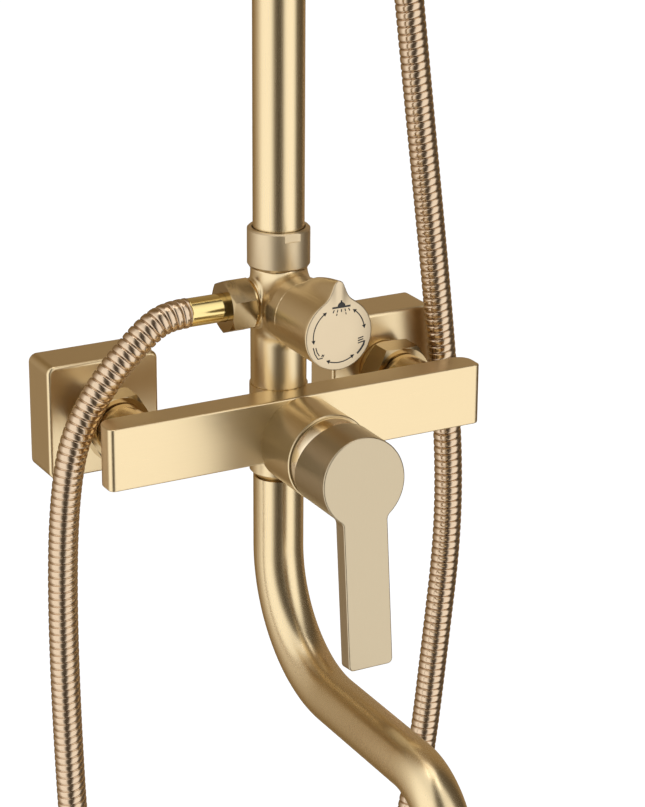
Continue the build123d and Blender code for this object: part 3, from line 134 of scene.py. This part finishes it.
def make_world():
    world = bpy.data.worlds.new("studio")
    bpy.context.scene.world = world
    world.use_nodes = True
    world.node_tree.nodes.clear()
    n = Nodes(world.node_tree)
    direction = n.add("ShaderNodeSeparateXYZ")
    n.link(n.add("ShaderNodeTexCoord").outputs["Generated"], direction.inputs[0])
    x, y, z = direction.outputs
    azimuth = n.math("ARCTAN2", x, n.math("MULTIPLY", y, -1.0))
    offset = n.math("WRAP", n.math("SUBTRACT", azimuth, CAMERA_AZIMUTH), math.pi)
    offset.node.inputs[2].default_value = -math.pi
    share = n.math("ADD", n.math("DIVIDE", offset, 2 * math.pi), 0.5)
    bands = n.ramp(share, [((a + 180) / 360, warmed(b, w)) for a, b, w in STUDIO_BANDS])
    height = n.math("ADD", n.math("DIVIDE", n.math("ARCSINE", z), math.pi), 0.5)
    heights = n.ramp(height, [((a + 90) / 180, v) for a, v in STUDIO_HEIGHTS])
    studio = n.add("ShaderNodeMixRGB", blend_type="MULTIPLY")
    studio.inputs[0].default_value = 1.0
    n.link(bands, studio.inputs[1])
    n.link(heights, studio.inputs[2])
    seen = n.add("ShaderNodeMixRGB")
    n.link(n.add("ShaderNodeLightPath").outputs["Is Camera Ray"], seen.inputs[0])
    n.link(studio.outputs[0], seen.inputs[1])
    seen.inputs[2].default_value = (0.98, 0.985, 0.985, 1)
    background = n.add("ShaderNodeBackground")
    n.link(seen.outputs[0], background.inputs[0])
    n.link(background.outputs[0], n.add("ShaderNodeOutputWorld").inputs[0])


make_world()


def area_light(name, place, aim, width, height, power, colour=(1, 0.98, 0.95)):
    data = bpy.data.lights.new(name, "AREA")
    data.shape, data.size, data.size_y = "RECTANGLE", width, height
    data.energy, data.color = power, colour
    lamp = bpy.data.objects.new(name, data)
    bpy.context.scene.collection.objects.link(lamp)
    lamp.location = place
    lamp.rotation_euler = (Vector(aim) - Vector(place)).to_track_quat("-Z", "Y").to_euler()
    return lamp


area_light("top", (0.3, -0.3, 3.0), (0, -0.1, 0), 1.6, 1.6, 12)


# ---------------------------------------------------------------- materials
def metal(name, colour, roughness, grain=None, streak=0.06, bump=0.12, spread=0.05, coat=0.0):
    """Plated metal. grain is the row axis (0, 1 or 2) along which it was brushed."""
    material = bpy.data.materials.new(name)
    material.use_nodes = True
    material.node_tree.nodes.clear()
    n = Nodes(material.node_tree)
    shader = n.add("ShaderNodeBsdfPrincipled")
    n.link(shader.outputs[0], n.add("ShaderNodeOutputMaterial").inputs[0])
    shader.inputs["Metallic"].default_value = 1.0
    shader.inputs["Coat Weight"].default_value = coat
    shader.inputs["Coat Roughness"].default_value = 0.08
    place = n.add("ShaderNodeTexCoord").outputs["Object"]
    stretched = n.add("ShaderNodeMapping")
    n.link(place, stretched.inputs[0])
    scale = [2600.0] * 3
    if grain is not None:
        scale[grain] = 45.0
    stretched.inputs["Scale"].default_value = scale
    fine = n.add("ShaderNodeTexNoise")
    fine.inputs["Scale"].default_value = 1.0
    fine.inputs["Detail"].default_value = 3.0
    n.link(stretched.outputs[0], fine.inputs[0])
    cloud = n.add("ShaderNodeTexNoise")
    cloud.inputs["Scale"].default_value = 38.0
    cloud.inputs["Detail"].default_value = 2.0
    n.link(place, cloud.inputs[0])
    tone = n.math("ADD", n.math("MULTIPLY", n.math("SUBTRACT", fine.outputs[0], 0.5), streak * 2),
                  n.math("MULTIPLY", n.math("SUBTRACT", cloud.outputs[0], 0.5), 0.03))
    dark = tuple(c * 0.80 for c in colour)
    light = tuple(min(1.0, c * 1.16) for c in colour)
    n.link(n.ramp(n.math("ADD", tone, 0.5), [(0.0, dark), (0.5, colour), (1.0, light)]),
           shader.inputs["Base Color"])
    rough = n.math("ADD", n.math("MULTIPLY", n.math("SUBTRACT", fine.outputs[0], 0.5), spread * 2),
                   roughness)
    n.link(n.math("ADD", rough, n.math("MULTIPLY", n.math("SUBTRACT", cloud.outputs[0], 0.5),
                                       0.02)), shader.inputs["Roughness"])
    relief = n.add("ShaderNodeBump")
    relief.inputs["Strength"].default_value = bump
    relief.inputs["Distance"].default_value = 0.00001
    n.link(fine.outputs[0], relief.inputs["Height"])
    n.link(relief.outputs[0], shader.inputs["Normal"])
    return material


def plain(name, colour, roughness, scale=900.0, bump=0.15, specular=0.5, glow=0.0):
    """Rubber, ceramic or moulded plastic with a fine skin."""
    material = bpy.data.materials.new(name)
    material.use_nodes = True
    material.node_tree.nodes.clear()
    n = Nodes(material.node_tree)
    shader = n.add("ShaderNodeBsdfPrincipled")
    n.link(shader.outputs[0], n.add("ShaderNodeOutputMaterial").inputs[0])
    shader.inputs["Specular IOR Level"].default_value = specular
    shader.inputs["Emission Color"].default_value = (1, 1, 1, 1)
    shader.inputs["Emission Strength"].default_value = glow
    place = n.add("ShaderNodeTexCoord").outputs["Object"]
    skin = n.add("ShaderNodeTexNoise")
    skin.inputs["Scale"].default_value = scale
    skin.inputs["Detail"].default_value = 4.0
    n.link(place, skin.inputs[0])
    n.link(n.ramp(skin.outputs[0], [(0.0, tuple(c * 0.85 for c in colour)),
                                    (1.0, tuple(min(1.0, c * 1.1) for c in colour))]),
           shader.inputs["Base Color"])
    n.link(n.math("ADD", n.math("MULTIPLY", skin.outputs[0], 0.12), roughness - 0.06),
           shader.inputs["Roughness"])
    relief = n.add("ShaderNodeBump")
    relief.inputs["Strength"].default_value = bump
    relief.inputs["Distance"].default_value = 0.00008
    n.link(skin.outputs[0], relief.inputs["Height"])
    n.link(relief.outputs[0], shader.inputs["Normal"])
    return material


GOLD = (0.79, 0.645, 0.41)
materials = {
    "brushed_x": metal("gold_brushed_along", GOLD, 0.30, 0),
    "brushed_y": metal("gold_brushed_out", GOLD, 0.30, 1),
    "brushed_z": metal("gold_brushed_up", GOLD, 0.26, 2, streak=0.025),
    # The lever's brushing grain and roughness are its real finish; its paler, less saturated base
    # colour is a painted sheen standing in for how the upright brushing spreads the light.
    "lever": metal("gold_brushed_lever_painted_sheen", (0.55, 0.465, 0.33), 0.34, 2, streak=0.12, spread=0.08),
    "satin": metal("gold_satin", GOLD, 0.31, None, streak=0.03, bump=0.08),
    "polished": metal("gold_polished", (0.80, 0.61, 0.33), 0.17, None, streak=0.02, bump=0.03),
    "ferrule": metal("gold_ferrule", (0.84, 0.68, 0.31), 0.12, 0, streak=0.02, bump=0.02),
    "hose": metal("gold_hose", (0.66, 0.515, 0.375), 0.20, None, streak=0.05, bump=0.05),
    "brass": metal("brass_machined", (0.74, 0.56, 0.28), 0.32, None, streak=0.05),
    "steel": metal("steel_machined", (0.60, 0.59, 0.57), 0.30, None),
    "rubber": plain("rubber_grey", (0.16, 0.16, 0.16), 0.75),
    "plastic": plain("plastic_white", (0.78, 0.77, 0.73), 0.45),
    "ceramic": plain("ceramic_white", (0.88, 0.87, 0.84), 0.15, bump=0.02),
    # Same gold plating as the polished parts; the base colour is darkened as painted shade for the
    # dark reflections the nuts pick up.
    "nut": metal("gold_nut_painted_shade", (0.46, 0.35, 0.20), 0.15, None, streak=0.03, bump=0.03),
    # Same gold plating as the rest; the brighter base colour is a painted highlight on the dome.
    "dome": metal("gold_dome_painted_highlight", (0.90, 0.78, 0.58), 0.20, None, streak=0.02, bump=0.02),
    "collar": metal("gold_collar", (0.70, 0.575, 0.39), 0.42, None, streak=0.04, bump=0.08),
    "knob_face": metal("gold_knob_face", (0.68, 0.565, 0.40), 0.36, None, streak=0.04, bump=0.06),
    "ink": plain("ink_black", (0.020, 0.019, 0.018), 0.5),
    "floor": plain("floor_pale", (0.50, 0.56, 0.66), 0.9, bump=0.0, glow=0.76),
}
LOOKS = {
    "brushed_x": ["mixer_body"],
    "brushed_y": ["bracket_arm", "bracket_flange"],
    "brushed_z": ["riser_lower", "riser_upper", "slider_body", "spout_tube"],
    "collar": ["riser_collar", "riser_coupling"],
    "dome": ["trim_dome"],
    "lever": ["lever_handle"],
    "polished": ["union_nut_left", "union_nut_right", "hose_nut", "hose_nipple", "hose_cone",
                 "slider_knob", "aerator_housing", "ball_nut", "inlet_tails"],
    "ferrule": ["hose_ferrule"],
    "brass": ["wall_union_left", "wall_union_right", "cartridge_nut", "cartridge_stem",
              "diverter_spindle", "spout_sleeve", "bracket_plate"],
    "steel": ["bracket_screws", "lever_screw", "spout_screw", "knob_screw", "bracket_set_screw",
              "pivot_pin"],
    "rubber": ["head_nozzles", "handset_nozzles", "inlet_washers", "hose_washer", "cone_washer",
               "riser_seal", "spout_o_ring"],
    "plastic": ["cartridge_body", "cartridge_rotor", "check_valves", "ball_seat", "slider_bush",
                "aerator_insert", "diverter_cartridge"],
    "ceramic": ["fixed_disc", "moving_disc"],
}
look_of = {node: look for look, members in LOOKS.items() for node in members}
for name, node in nodes.items():
    node.data.materials.clear()
    node.data.materials.append(materials[look_of.get(name, "satin")])


def new_piece(name, vertices, faces, look, smooth=True):
    mesh = bpy.data.meshes.new(name)
    mesh.from_pydata([tuple(v) for v in vertices], [], faces)
    mesh.update()
    piece = bpy.data.objects.new(name, mesh)
    bpy.context.scene.collection.objects.link(piece)
    mesh.materials.append(materials[look])
    if smooth:
        mesh.polygons.foreach_set("use_smooth", [True] * len(mesh.polygons))
    return piece


def tidy(piece, merge=1e-7):
    """Merges doubled points and makes the faces look outwards."""
    work = bmesh.new()
    work.from_mesh(piece.data)
    bmesh.ops.remove_doubles(work, verts=work.verts, dist=merge)
    bmesh.ops.dissolve_degenerate(work, edges=work.edges, dist=1e-7)
    open_edges = [e for e in work.edges if len(e.link_faces) == 1]
    if open_edges:
        bmesh.ops.holes_fill(work, edges=open_edges, sides=0)
    bmesh.ops.recalc_face_normals(work, faces=work.faces)
    work.to_mesh(piece.data)
    work.free()
    piece.data.update()


# ---------------------------------------------------------------- hose
HOSE_DIAMETER = 0.014
HOSE_PITCH = 0.0036
HOSE_POINTS = [
    (-47.0, -55.0, 56.0), (-56.0, -55.0, 56.0), (-65.3, -54.8, 51.7), (-74.0, -54.0, 43.3),
    (-84.5, -52.5, 32.0), (-94.5, -50.0, 16.5), (-102.5, -47.5, -3.0), (-106.5, -45.5, -35.0),
    (-108.0, -44.5, -80.0), (-107.5, -44.3, -142.0), (-105.0, -44.0, -212.0),
    (-97.0, -43.6, -278.0), (-72.0, -43.4, -318.0), (-30.0, -43.2, -340.0),
    (18.0, -43.0, -337.0), (57.0, -43.0, -308.0), (80.0, -43.0, -262.0), (90.0, -42.9, -205.0),
    (97.0, -42.3, -143.0), (104.0, -39.6, -92.0), (105.6, -36.5, -48.0), (102.6, -34.6, -5.0),
    (97.2, -34.0, 45.0), (84.3, -34.1, 145.0), (71.2, -33.2, 255.0), (57.6, -31.9, 365.0),
    (47.2, -31.6, 455.0), (40.6, -33.6, 515.0), (38.0, -38.788, 555.459),
    (38.0, -48.159, 581.206)]
# One turn of the hose's wound strip: (share of the pitch, how far it lies below the crown).
HOSE_PROFILE = [(0.0, 1.25), (0.045, 0.42), (0.12, 0.10), (0.26, 0.0), (0.55, 0.0), (0.74, 0.06),
                (0.88, 0.30), (0.955, 0.75)]
HOSE_SIDES = 28


def hose_line():
    """Points along the route's own smooth curve, in order."""
    data = bpy.data.curves.new("hose_route", "CURVE")
    data.dimensions = "3D"
    data.resolution_u = 24
    spline = data.splines.new("NURBS")
    spline.points.add(len(HOSE_POINTS) - 1)
    for point, place in zip(spline.points, HOSE_POINTS):
        point.co = (*(c * MM for c in place), 1)
    spline.order_u = 3
    spline.use_endpoint_u = True
    route = bpy.data.objects.new("hose_route", data)
    bpy.context.scene.collection.objects.link(route)
    bpy.context.view_layer.update()
    mesh = bpy.data.meshes.new_from_object(route)
    line = np.array([v.co for v in mesh.vertices])
    bpy.data.objects.remove(route)
    bpy.data.meshes.remove(mesh)
    return line


def travelling_frames(line):
    """Tangents and two cross directions along a line, without twist."""
    tangents = np.gradient(line, axis=0)
    tangents /= np.linalg.norm(tangents, axis=1)[:, None]
    side = np.cross(tangents[0], (0, 1, 0))
    sides = []
    for tangent in tangents:
        side = side - tangent * (side @ tangent)
        side = side / np.linalg.norm(side)
        sides.append(side)
    sides = np.array(sides)
    return tangents, sides, np.cross(tangents, sides)


def make_hose():
    line = hose_line()
    steps = np.linalg.norm(np.diff(line, axis=0), axis=1)
    line = line[np.concatenate([[True], steps > 1e-9])]
    run = np.concatenate([[0], np.cumsum(np.linalg.norm(np.diff(line, axis=0), axis=1))])
    length = run[-1]
    even = np.linspace(0, length, 4 * int(length / HOSE_PITCH) + 1)
    path = np.stack([np.interp(even, run, line[:, k]) for k in range(3)], axis=1)
    tangents, sides, others = travelling_frames(path)
    turns = int(length / HOSE_PITCH) + 1
    per_turn = len(HOSE_PROFILE)
    shares = np.array([p[0] for p in HOSE_PROFILE])
    depths = np.array([p[1] for p in HOSE_PROFILE]) * MM
    count = (turns + 1) * HOSE_SIDES + 1
    k = np.arange(count)
    s = ((k / HOSE_SIDES - 1)[:, None] + shares) * HOSE_PITCH
    inside = np.clip(s, 0, length)
    radius = HOSE_DIAMETER / 2 - np.broadcast_to(depths, s.shape)
    radius = np.where((s < 0) | (s > length), HOSE_DIAMETER / 2 - 0.6 * MM, radius)
    angle = np.broadcast_to((2 * np.pi * k / HOSE_SIDES)[:, None], s.shape)

    def along(values):
        return np.stack([np.interp(inside, even, values[:, c]) for c in range(3)], axis=-1)

    places = (along(path) + radius[..., None] * (np.cos(angle)[..., None] * along(sides)
                                                 + np.sin(angle)[..., None] * along(others)))
    faces = []
    clamped = (s < 0) | (s > length)
    last = count - 1

    def index(i, m):
        """Vertex at step i and profile point m; the strip's far edge starts the next turn."""
        return (i + HOSE_SIDES) * per_turn if m == per_turn else i * per_turn + m

    for i in range(last - HOSE_SIDES):
        for m in range(per_turn):
            corners = [index(i, m), index(i + 1, m), index(i + 1, m + 1), index(i, m + 1)]
            if not all(clamped.flat[c] for c in corners):
                faces.append(corners[::-1])
    hose = new_piece("hose", places.reshape(-1, 3), faces, "hose")
    work = bmesh.new()
    work.from_mesh(hose.data)
    bmesh.ops.delete(work, geom=[v for v in work.verts if not v.link_faces], context="VERTS")
    work.to_mesh(hose.data)
    work.free()
    tidy(hose, 2e-6)
    hose.data.polygons.foreach_set("use_smooth", [True] * len(hose.data.polygons))
    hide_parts("shower_hose")
    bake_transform(hose)
    return hose


make_hose()

# ---------------------------------------------------------------- nuts
INLET_HALF_SPACING = 75.0
UNION_NUT_FLATS = 30.0
UNION_NUT_ENDS = (28.4, 42.0)                # reach of its two ends
UNION_NUT_WALL = 38.7                        # reach of its inner shoulder
UNION_THREAD_R, TAIL_HOLE_R = 13.25, 10.2
HOSE_NUT_FLATS = 23.0
HOSE_NUT_ENDS = (16.6, 28.9)                 # distance from the column's axis
HOSE_NUT_WALL = 26.4
HOSE_THREAD_R, FERRULE_HOLE_R = 8.35, 6.8
NUT_EDGE = 0.18                              # width of the worn edges
HOSE_NUT_TURN = math.radians(23.0)
COLUMN_REACH, KNOB_Z = 55.0, 56.0


def ring_mesh(name, rings, look, angles, sharp=None):
    """Skin through closed rings of equal count, with the last ring joined to the first."""
    count = len(angles)
    vertices = [v for ring in rings for v in ring]
    faces = []
    for low in range(len(rings)):
        high = (low + 1) % len(rings)
        for k in range(count):
            following = (k + 1) % count
            faces.append((low * count + k, low * count + following,
                          high * count + following, high * count + k))
    piece = new_piece(name, vertices, faces, look)
    tidy(piece)
    if sharp:
        piece.data.set_sharp_from_angle(angle=math.radians(sharp))
    return piece


def hex_nut(name, node, origin, along, first, width, low, high, bores, look):
    """Hexagon nut with a chamfered end on both sides, bored by (radius, start, end) steps."""
    along, first = Vector(along), Vector(first)
    second = along.cross(first)
    angles = np.radians(np.arange(0, 360, 2.0))
    half = width / 2
    edge = half / np.cos((angles + math.pi / 6) % (math.pi / 3) - math.pi / 6)
    cut = (edge - half) * 0.6

    def ring(radii, heights):
        radii, heights = np.broadcast_to(radii, edge.shape), np.broadcast_to(heights, edge.shape)
        return [(Vector(origin) + along * h + (first * math.cos(a) + second * math.sin(a)) * r) * MM
                for a, r, h in zip(angles, radii, heights)]

    rings = [ring(half, low), ring(edge, low + cut), ring(edge, high - cut), ring(half, high)]
    for radius, start, end in bores:
        rings += [ring(radius, start), ring(radius, end)]
    nut = ring_mesh(name, rings, look, angles)
    bevel = nut.modifiers.new("edges", "BEVEL")
    bevel.width, bevel.segments, bevel.limit_method = NUT_EDGE * MM, 2, "ANGLE"
    bevel.angle_limit = math.radians(20)
    bevel.harden_normals = True
    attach(nut, "root")
    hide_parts(node)
    return nut


def bored(ends, wall, thread, hole):
    """Steps of a nut's bore, from its far end back to its near end."""
    return [(hole, ends[1], wall), (thread, wall, ends[0])]


for side, sign in (("left", -1), ("right", 1)):
    hex_nut(f"nut_{side}", f"union_nut_{side}", (sign * INLET_HALF_SPACING, 0, 0), (0, -1, 0),
            (0, 0, 1), UNION_NUT_FLATS, *UNION_NUT_ENDS,
            bored(UNION_NUT_ENDS, UNION_NUT_WALL, UNION_THREAD_R, TAIL_HOLE_R), "nut")
hex_nut("nut_hose", "hose_nut", (0, -COLUMN_REACH, KNOB_Z), (-1, 0, 0),
        (0, math.sin(HOSE_NUT_TURN), math.cos(HOSE_NUT_TURN)), HOSE_NUT_FLATS, *HOSE_NUT_ENDS,
        bored(HOSE_NUT_ENDS, HOSE_NUT_WALL, HOSE_THREAD_R, FERRULE_HOLE_R), "nut")


# ---------------------------------------------------------------- diverter knob
KNOB_RIM = [(0, 1.0), (2, 0.982), (4, 0.92), (6, 0.79), (8, 0.63), (10, 0.475), (12, 0.35),
            (14, 0.255), (16, 0.185), (19, 0.11), (23, 0.05), (28, 0.018), (35, 0.0), (181, 0.0)]
KNOB_TIPS = [(83.6, 16.8), (88, 19.1), (92.5, 21.0), (97.1, 22.3), (102.5, 23.5), (108, 24.4),
             (113.5, 25.2)]
KNOB_BACK, KNOB_FACE = 83.6, 113.5           # reach of its back and of its front
KNOB_R = 16.8
KNOB_STEP = 1.4                              # between the rings of its side
# Corners of the knob's end, as (reach behind the front, inset), and its hollow back with the
# socket for the spindle, as (radius, reach).
KNOB_CORNER = [(0.7, 0.0), (0.35, 0.09), (0.12, 0.32), (0.0, 0.7)]
KNOB_INSIDE = [(6.0, KNOB_FACE), (0.01, KNOB_FACE), (0.01, 101.5), (4.05, 101.5), (4.05, 87.6),
               (7.0, 87.6), (7.0, 106.5), (13.4, 106.5), (13.4, KNOB_BACK)]


def on_knob(right, up, reach):
    return Vector((right, -reach, KNOB_Z + up)) * MM


def make_knob():
    angles = np.radians(np.concatenate([np.arange(-180, -36, 4.0), np.arange(-36, 36, 1.0),
                                        np.arange(36, 180, 4.0)]))
    share = np.interp(np.degrees(np.abs(angles)), *zip(*KNOB_RIM))

    def ring(reach, inset=0.0, radius=None):
        tip = np.interp(min(reach, KNOB_FACE), *zip(*KNOB_TIPS))
        side = KNOB_R + (tip - KNOB_R) * share - inset
        radii = side if radius is None else np.full(angles.shape, radius)
        return [on_knob(r * math.sin(a), r * math.cos(a), reach) for a, r in zip(angles, radii)]

    rings = [ring(KNOB_BACK, 0.3), ring(KNOB_BACK + 0.3)]
    rings += [ring(reach) for reach in np.arange(KNOB_BACK + 1, KNOB_FACE - 0.9, KNOB_STEP)]
    rings += [ring(KNOB_FACE - behind, inset) for behind, inset in KNOB_CORNER]
    rings += [ring(reach, radius=radius) for radius, reach in KNOB_INSIDE]
    knob = ring_mesh("knob", rings, "satin", angles, sharp=40)
    knob.data.materials.append(materials["knob_face"])
    for face in knob.data.polygons:
        if face.normal.y < -0.3 and face.center.y < -(KNOB_FACE - 0.8) * MM:
            face.material_index = 1
    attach(knob, "diverter")
    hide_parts("diverter_knob")


make_knob()


ARC_R, ARC_WIDTH = 13.0, 0.5
ARROW_LENGTH, ARROW_HALF = 8.0, 1.0          # in degrees, and half its width
PRINT_SINK, PRINT_PROUD = 0.05, 0.07


def prisms(name, outlines, low, high, look):
    """Thin flat shapes on the knob's face, each from its outline of (right, up) points."""
    vertices, faces = [], []
    for outline in outlines:
        count, base = len(outline), len(vertices)
        vertices += [on_knob(x, z, low) for x, z in outline]
        vertices += [on_knob(x, z, high) for x, z in outline]
        faces.append([base + k for k in range(count)][::-1])
        faces.append([base + count + k for k in range(count)])
        faces += [(base + k, base + (k + 1) % count, base + count + (k + 1) % count,
                   base + count + k) for k in range(count)]
    piece = new_piece(name, vertices, faces, look, smooth=False)
    tidy(piece)
    return piece


def stroke(points, width):
    """Outline of a line of the given width through points."""
    points = np.array(points, float)
    ahead = np.gradient(points, axis=0)
    ahead /= np.linalg.norm(ahead, axis=1)[:, None]
    side = np.stack([-ahead[:, 1], ahead[:, 0]], axis=1) * width / 2
    return [tuple(p) for p in np.concatenate([points + side, (points - side)[::-1]])]


def arc(centre, radius, start, end, steps=18):
    return [(centre[0] + radius * math.cos(a), centre[1] + radius * math.sin(a))
            for a in np.radians(np.linspace(start, end, steps))]


def at_angle(radius, degrees):
    return radius * math.cos(math.radians(degrees)), radius * math.sin(math.radians(degrees))


def arrowed_arc(radius, start, end):
    """An arc about the knob's middle with a head at each end."""
    way = math.copysign(1, end - start)
    shapes = [stroke(arc((0, 0), radius, start + way * 5, end - way * 5), ARC_WIDTH)]
    for tip, turned in ((start, way), (end, -way)):
        base = tip + turned * ARROW_LENGTH
        shapes.append([at_angle(radius, tip), at_angle(radius - ARROW_HALF, base),
                       at_angle(radius + ARROW_HALF, base)])
    return shapes


def make_icons():
    """Arrows between the three outlets, and the signs of rain head, hand shower and spout."""
    shapes = []
    for start, end in ((58, 5), (-53, -119.5), (192, 118.5)):
        shapes += arrowed_arc(ARC_R, start, end)
    rain = [[(-4.6, -0.1), (4.6, -0.1), (4.6, 0.75), (-4.6, 0.75)],
            arc((0, 0.75), 1.9, 0, 180, 10), stroke([(0, 2.3), (0, 3.4)], 0.7)]
    for k, x in enumerate((-3.6, -1.8, 0, 1.8, 3.6)):
        rain.append(stroke([(x, -0.7), (x * 1.18, -2.0)], 0.45))
        if k % 2:
            rain.append(stroke([(x * 1.22, -2.5), (x * 1.36, -3.5)], 0.45))
    hand = [stroke([(13.0, -4.6), (12.6, -6.4), (11.0, -8.6), (9.3, -10.3)], 0.9)]
    hand += [stroke([(9.7, z), (12.4, z + 0.5)], 0.5) for z in (-3.2, -4.3, -5.4)]
    tap = [stroke([(-13.0, -4.2), (-12.2, -7.2), (-10.6, -9.9), (-8.2, -9.7)], 0.5),
           stroke([(-11.7, -4.4), (-11.0, -6.8), (-9.9, -8.4)], 0.5),
           stroke([(-8.9, -8.9), (-7.4, -8.3)], 0.4), stroke([(-8.6, -8.0), (-7.7, -9.3)], 0.4)]
    shapes += [[(x + 1.1, z + 12.6) for x, z in shape] for shape in rain] + hand + tap
    icons = prisms("knob_icons", shapes, KNOB_FACE - PRINT_SINK,
                   KNOB_FACE + PRINT_PROUD, "ink")
    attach(icons, "diverter")


make_icons()


# ---------------------------------------------------------------- diverter body
NECK_R, NECK_LOW, NECK_HIGH = 13.15, 15.2, 72.1
OUTLET_R, OUTLET_END = 11.5, 15.05
BARREL_BLEND, OUTLET_BLEND = 7.0, 1.2
CARTRIDGE_BORE, BORE_START = 11.45, 50.4
SKIN_VOXEL, SKIN_REACH = 0.5, 2.2            # grid, and how far a point may be drawn to the skin
# The barrel's radius by its distance ahead of the column's axis.
BARREL = [(-8, 9.0), (-6.3, 10.9), (-3.4, 12.4), (0, 13.1), (4, 13.65), (8.5, 14.2), (13, 14.9),
          (17, 15.75), (21, 16.4), (29, 16.4)]


def smooth_least(a, b, k):
    h = np.clip(0.5 + 0.5 * (b - a) / k, 0, 1)
    return b * (1 - h) + a * h - k * h * (1 - h)


def diverter_field(p):
    """Signed distance to the outside of the blended neck, barrel and outlet boss."""
    x, y, z = p[:, 0], p[:, 1] + COLUMN_REACH, p[:, 2] - KNOB_Z
    neck = np.hypot(x, y) - NECK_R
    barrel = np.maximum(np.hypot(x, z) - np.interp(-y, *zip(*BARREL)), y - 8)
    outlet = np.maximum(np.hypot(y, z) - OUTLET_R, np.maximum(-x - OUTLET_END, x))
    return smooth_least(smooth_least(neck, barrel, BARREL_BLEND), outlet, OUTLET_BLEND)


def make_diverter():
    """The CAD body on an even grid, with its outside drawn onto the blended shape."""
    piece = nodes["diverter_body"].copy()
    piece.data = nodes["diverter_body"].data.copy()
    piece.name = piece.data.name = "diverter_skin"
    bpy.context.scene.collection.objects.link(piece)
    piece.modifiers.clear()
    work = bmesh.new()
    work.from_mesh(piece.data)
    bmesh.ops.remove_doubles(work, verts=work.verts, dist=2e-6)
    work.to_mesh(piece.data)
    work.free()
    remesh = piece.modifiers.new("even", "REMESH")
    remesh.mode, remesh.voxel_size = "VOXEL", SKIN_VOXEL * MM
    evaluated = piece.evaluated_get(bpy.context.evaluated_depsgraph_get())
    mesh = bpy.data.meshes.new_from_object(evaluated)
    world = np.array(piece.matrix_world)
    places = np.array([v.co for v in mesh.vertices]) @ world[:3, :3].T + world[:3, 3]
    places = places / MM
    field = diverter_field(places)
    reach = -places[:, 1]
    bore = (reach > BORE_START) & (
        np.hypot(places[:, 0], places[:, 2] - KNOB_Z) < CARTRIDGE_BORE)
    near = (np.abs(field) < SKIN_REACH) & ~bore & (reach < KNOB_BACK - 0.8)
    near &= (places[:, 2] > NECK_LOW) & (places[:, 2] < NECK_HIGH)
    near &= places[:, 0] > -OUTLET_END + 0.15
    moving = places[near]
    for _ in range(6):
        value = diverter_field(moving)
        slope = np.stack([diverter_field(moving + step) - diverter_field(moving - step)
                          for step in np.eye(3) * 0.05], axis=1) / 0.1
        moving = moving - value[:, None] * slope / np.maximum((slope ** 2).sum(1), 0.2)[:, None]
    places[near] = moving
    back = np.linalg.inv(world)
    places = places * MM @ back[:3, :3].T + back[:3, 3]
    mesh.vertices.foreach_set("co", places.ravel())
    mesh.update()
    old = piece.data
    piece.modifiers.clear()
    piece.data = mesh
    bpy.data.meshes.remove(old)
    mesh.polygons.foreach_set("use_smooth", [True] * len(mesh.polygons))
    mesh.set_sharp_from_angle(angle=math.radians(50))
    mesh.materials.clear()
    mesh.materials.append(materials["satin"])
    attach(piece, "root")
    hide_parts("diverter_body")


make_diverter()

# ---------------------------------------------------------------- floor
FLOOR_HALF, FLOOR_Z = 9.0, -0.9
corners = [(-1, -1), (1, -1), (1, 1), (-1, 1)]
floor = new_piece("floor", [(x * FLOOR_HALF, y * FLOOR_HALF, FLOOR_Z) for x, y in corners],
                  [(0, 1, 2, 3)], "floor", smooth=False)
floor.visible_glossy = False
